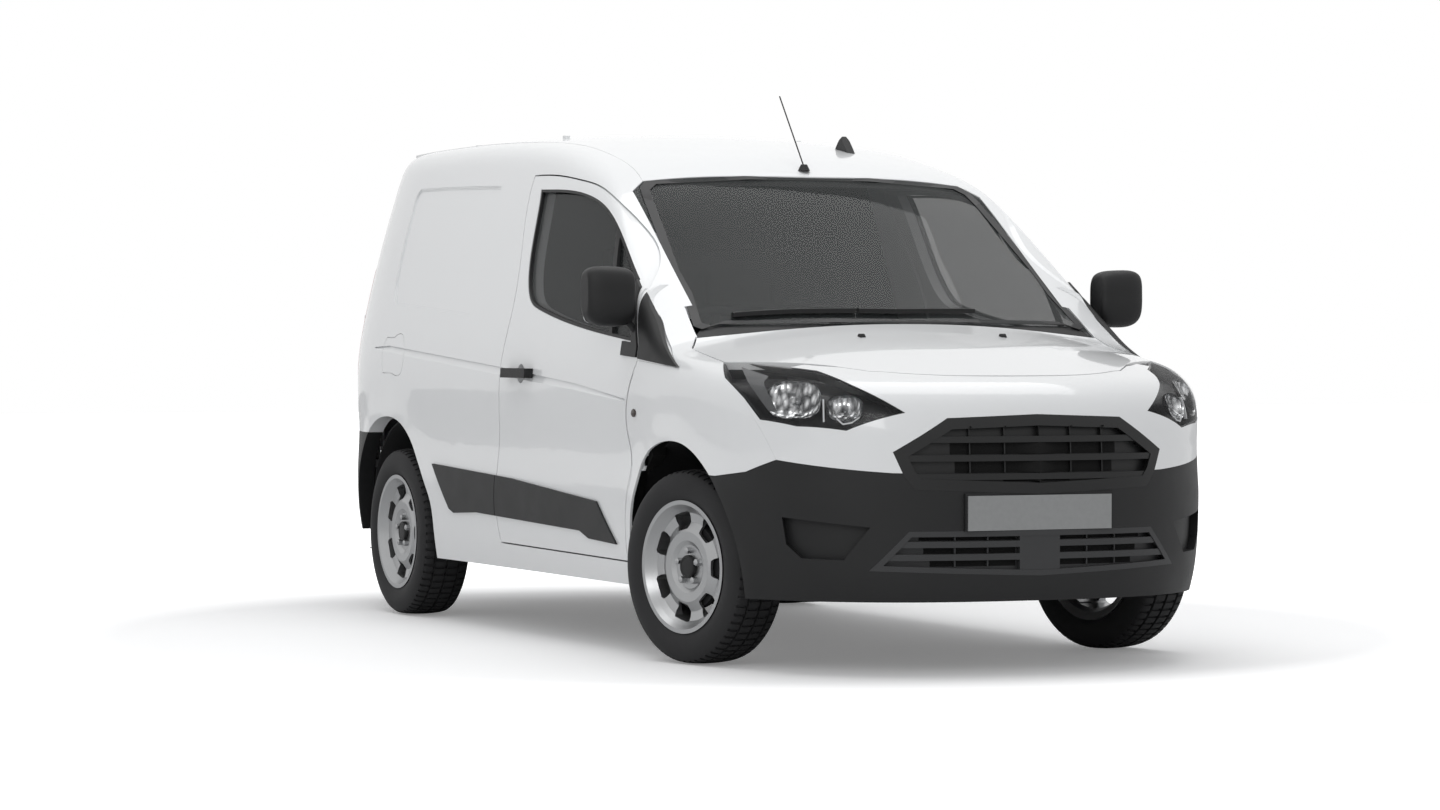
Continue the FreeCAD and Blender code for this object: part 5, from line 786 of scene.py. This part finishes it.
for name, (right, left, heads) in SEATS.items():
    parts = []
    cushion = pad(f"seat_{name}_cushion", (CUSHION_BACK, right + CUSHION_MARGIN, CUSHION_LOW),
                  (CUSHION_FRONT, left - CUSHION_MARGIN, CUSHION_HIGH), 0.35, (-0.3, 0.3))
    parts.append(finish_piece(cushion, cloth, "body"))
    back = pad(f"seat_{name}_back", (BACK_REAR, right + BACK_MARGIN, BACK_LOW),
               (BACK_FRONT, left - BACK_MARGIN, BACK_HIGH), 0.3, (-0.5, 0.5))
    finish_piece(back, cloth, "body")
    back.data.transform(Matrix.Translation((-BACK_SHIFT, 0, BACK_LOW)) @ Matrix.Rotation(-0.5 * LEAN, 4, "Y")
                        @ Matrix.Translation((0, 0, -BACK_LOW)))
    parts.append(back)
    for count, head in enumerate(heads):
        rest = pad(f"seat_{name}_head_{count + 1}", (HEAD_REAR, head - HEAD_HALF, HEAD_LOW),
                   (HEAD_FRONT, head + HEAD_HALF, HEAD_HIGH), 0.3, ())
        parts.append(finish_piece(rest, cloth, "body"))
    for part in parts:
        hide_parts(f"seat_{name}")

# Cab
# Dark grey moulded dashboard and bulkhead, and a grained steering wheel.
cab_grain = grained("dark cab plastic", (0.018, 0.018, 0.019, 1), 0.6, 700, 0.05)
for name in ("dashboard", "steering_wheel", "bulkhead"):
    dress(node[name], cab_grain)

# Wipers
# Two black wiper blades lie on the foot of the windscreen, above the bonnet's edge, and
# follow the glass.
WIPERS = [(-0.150, 0.300), (-0.600, -0.160)]
BLADE_HALF, BLADE_LOW, BLADE_HIGH, BLADE_LIFT = 0.009, -0.004, 0.012, 0.006
SWEEP_X, SWEEP_BOW = 1.205, 0.10


def on_screen(x, y):
    return screen_tree.ray_cast(Vector((x, y, 3)), Vector((0, 0, -1)))[0]


for count, (start, end) in enumerate(WIPERS):
    blade = start_block(f"wiper_{count + 1}", (-BLADE_HALF, start, BLADE_LOW), (BLADE_HALF, end, BLADE_HIGH))
    bpy.ops.mesh.subdivide(number_cuts=9)
    faces_where(blade, lambda middle, normal: normal.z > 0.9)
    bpy.ops.transform.resize(value=(0.45, 1, 1))
    cage = bmesh.from_edit_mesh(blade.data)
    for vertex in cage.verts:
        foot = on_screen(SWEEP_X - SWEEP_BOW * abs(vertex.co.y) ** 1.5, vertex.co.y)
        if foot is not None:
            vertex.co.x += foot.x
            vertex.co.z += foot.z + BLADE_LIFT
    bmesh.update_edit_mesh(blade.data)
    finish_piece(blade, black_grain, "body")

# Small fittings
# Washer jets on the bonnet, side lamps on the wings and silvered glasses in the door
# mirrors.
bonnet_tree = tree_of("bonnet")
JET_X, JET_Y = 1.463, 0.266
JET_LOW, JET_HIGH, JET_ROUND = Vector((-0.018, -0.011, -0.002)), Vector((0.012, 0.011, 0.011)), 0.002
jet_foot = bonnet_tree.ray_cast(Vector((JET_X, -JET_Y, 3)), Vector((0, 0, -1)))[0]
jet = start_block("washer_jet_right", jet_foot + JET_LOW, jet_foot + JET_HIGH)
faces_where(jet, lambda middle, normal: normal.z > 0.9)
bpy.ops.transform.resize(value=(0.6, 0.7, 1))
bpy.ops.mesh.select_all(action="SELECT")
bpy.ops.mesh.bevel(offset=JET_ROUND, segments=2)
finish_piece(jet, black_grain, "bonnet")
copied(jet, "washer_jet_left", MIRROR, "bonnet")

wing_tree = tree_of("wing_right")
SIDE_LAMP_X, SIDE_LAMP_Z = 1.033, 0.824
SIDE_LAMP_PROFILE = [(0.012, 0), (0.012, 0.003), (0.010, 0.005), (0.004, 0.006)]
side_spot = wing_tree.ray_cast(Vector((SIDE_LAMP_X, -2, SIDE_LAMP_Z)), Vector((0, 1, 0)))[0]
smoke = grained("smoked side lamp", (0.05, 0.04, 0.035, 1), 0.12, 300, 0.1)
repeater = start_ring("side_lamp_right", SIDE_LAMP_PROFILE[0][0], 0, 28)
turn_profile(SIDE_LAMP_PROFILE)
bpy.ops.mesh.edge_face_add()
finish_piece(repeater, smoke, "body")
repeater.data.transform(Matrix.Translation(side_spot) @ Matrix.Rotation(math.radians(90), 4, "X")
                        @ Matrix.Diagonal((1.5, 1.15, 1, 1)))
copied(repeater, "side_lamp_left", MIRROR, "body")

mirror_low, mirror_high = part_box("mirror_right")
silvered, nodes, links, shader = new_material("mirror glass")
shader.inputs["Base Color"].default_value = (0.75, 0.77, 0.78, 1)
shader.inputs["Metallic"].default_value = 1.0
place = nodes.new("ShaderNodeTexCoord")
haze = nodes.new("ShaderNodeTexNoise")
haze.inputs["Scale"].default_value = 14
sheen = nodes.new("ShaderNodeMapRange")
sheen.inputs["To Min"].default_value = 0.02
sheen.inputs["To Max"].default_value = 0.06
links.new(place.outputs["Object"], haze.inputs["Vector"])
links.new(haze.outputs["Fac"], sheen.inputs["Value"])
links.new(sheen.outputs["Result"], shader.inputs["Roughness"])
PANE_PROUD, PANE_SUNK, PANE_MARGIN, PANE_WIDE, PANE_HIGH, PANE_ROUND = 0.0015, 0.004, 0.014, 0.142, 0.176, 0.022
pane_right, pane_top = mirror_low.y + PANE_MARGIN, mirror_high.z - PANE_MARGIN
pane = start_block("mirror_glass_right", (mirror_low.x - PANE_PROUD, pane_right, pane_top - PANE_HIGH),
                   (mirror_low.x + PANE_SUNK, pane_right + PANE_WIDE, pane_top))
bpy.ops.mesh.select_mode(type="EDGE")
bpy.ops.mesh.select_all(action="DESELECT")
cage = bmesh.from_edit_mesh(pane.data)
for edge in cage.edges:
    edge.select_set(abs(edge.verts[0].co.x - edge.verts[1].co.x) > PANE_PROUD)
bmesh.update_edit_mesh(pane.data)
bpy.ops.mesh.bevel(offset=PANE_ROUND, segments=5)
finish_piece(pane, silvered, "door_right")
copied(pane, "mirror_glass_left", MIRROR, "door_left")

# Underneath
# Painted floor and dull castings, seen only low down and in the wheel arches.
floor_coat = grained("underbody coat", (0.016, 0.016, 0.017, 1), 0.85, 160, 0.4)
for name in ("underbody", "front_subframe", "rear_axle", "knuckle_right", "knuckle_left", "engine"):
    dress(node[name], floor_coat)
steel = grained("dull exhaust steel", (0.25, 0.24, 0.23, 1), 0.5, 300, 0.1)
shader = steel.node_tree.nodes["Principled BSDF"]
shader.inputs["Metallic"].default_value = 1.0
dress(node["exhaust"], steel)
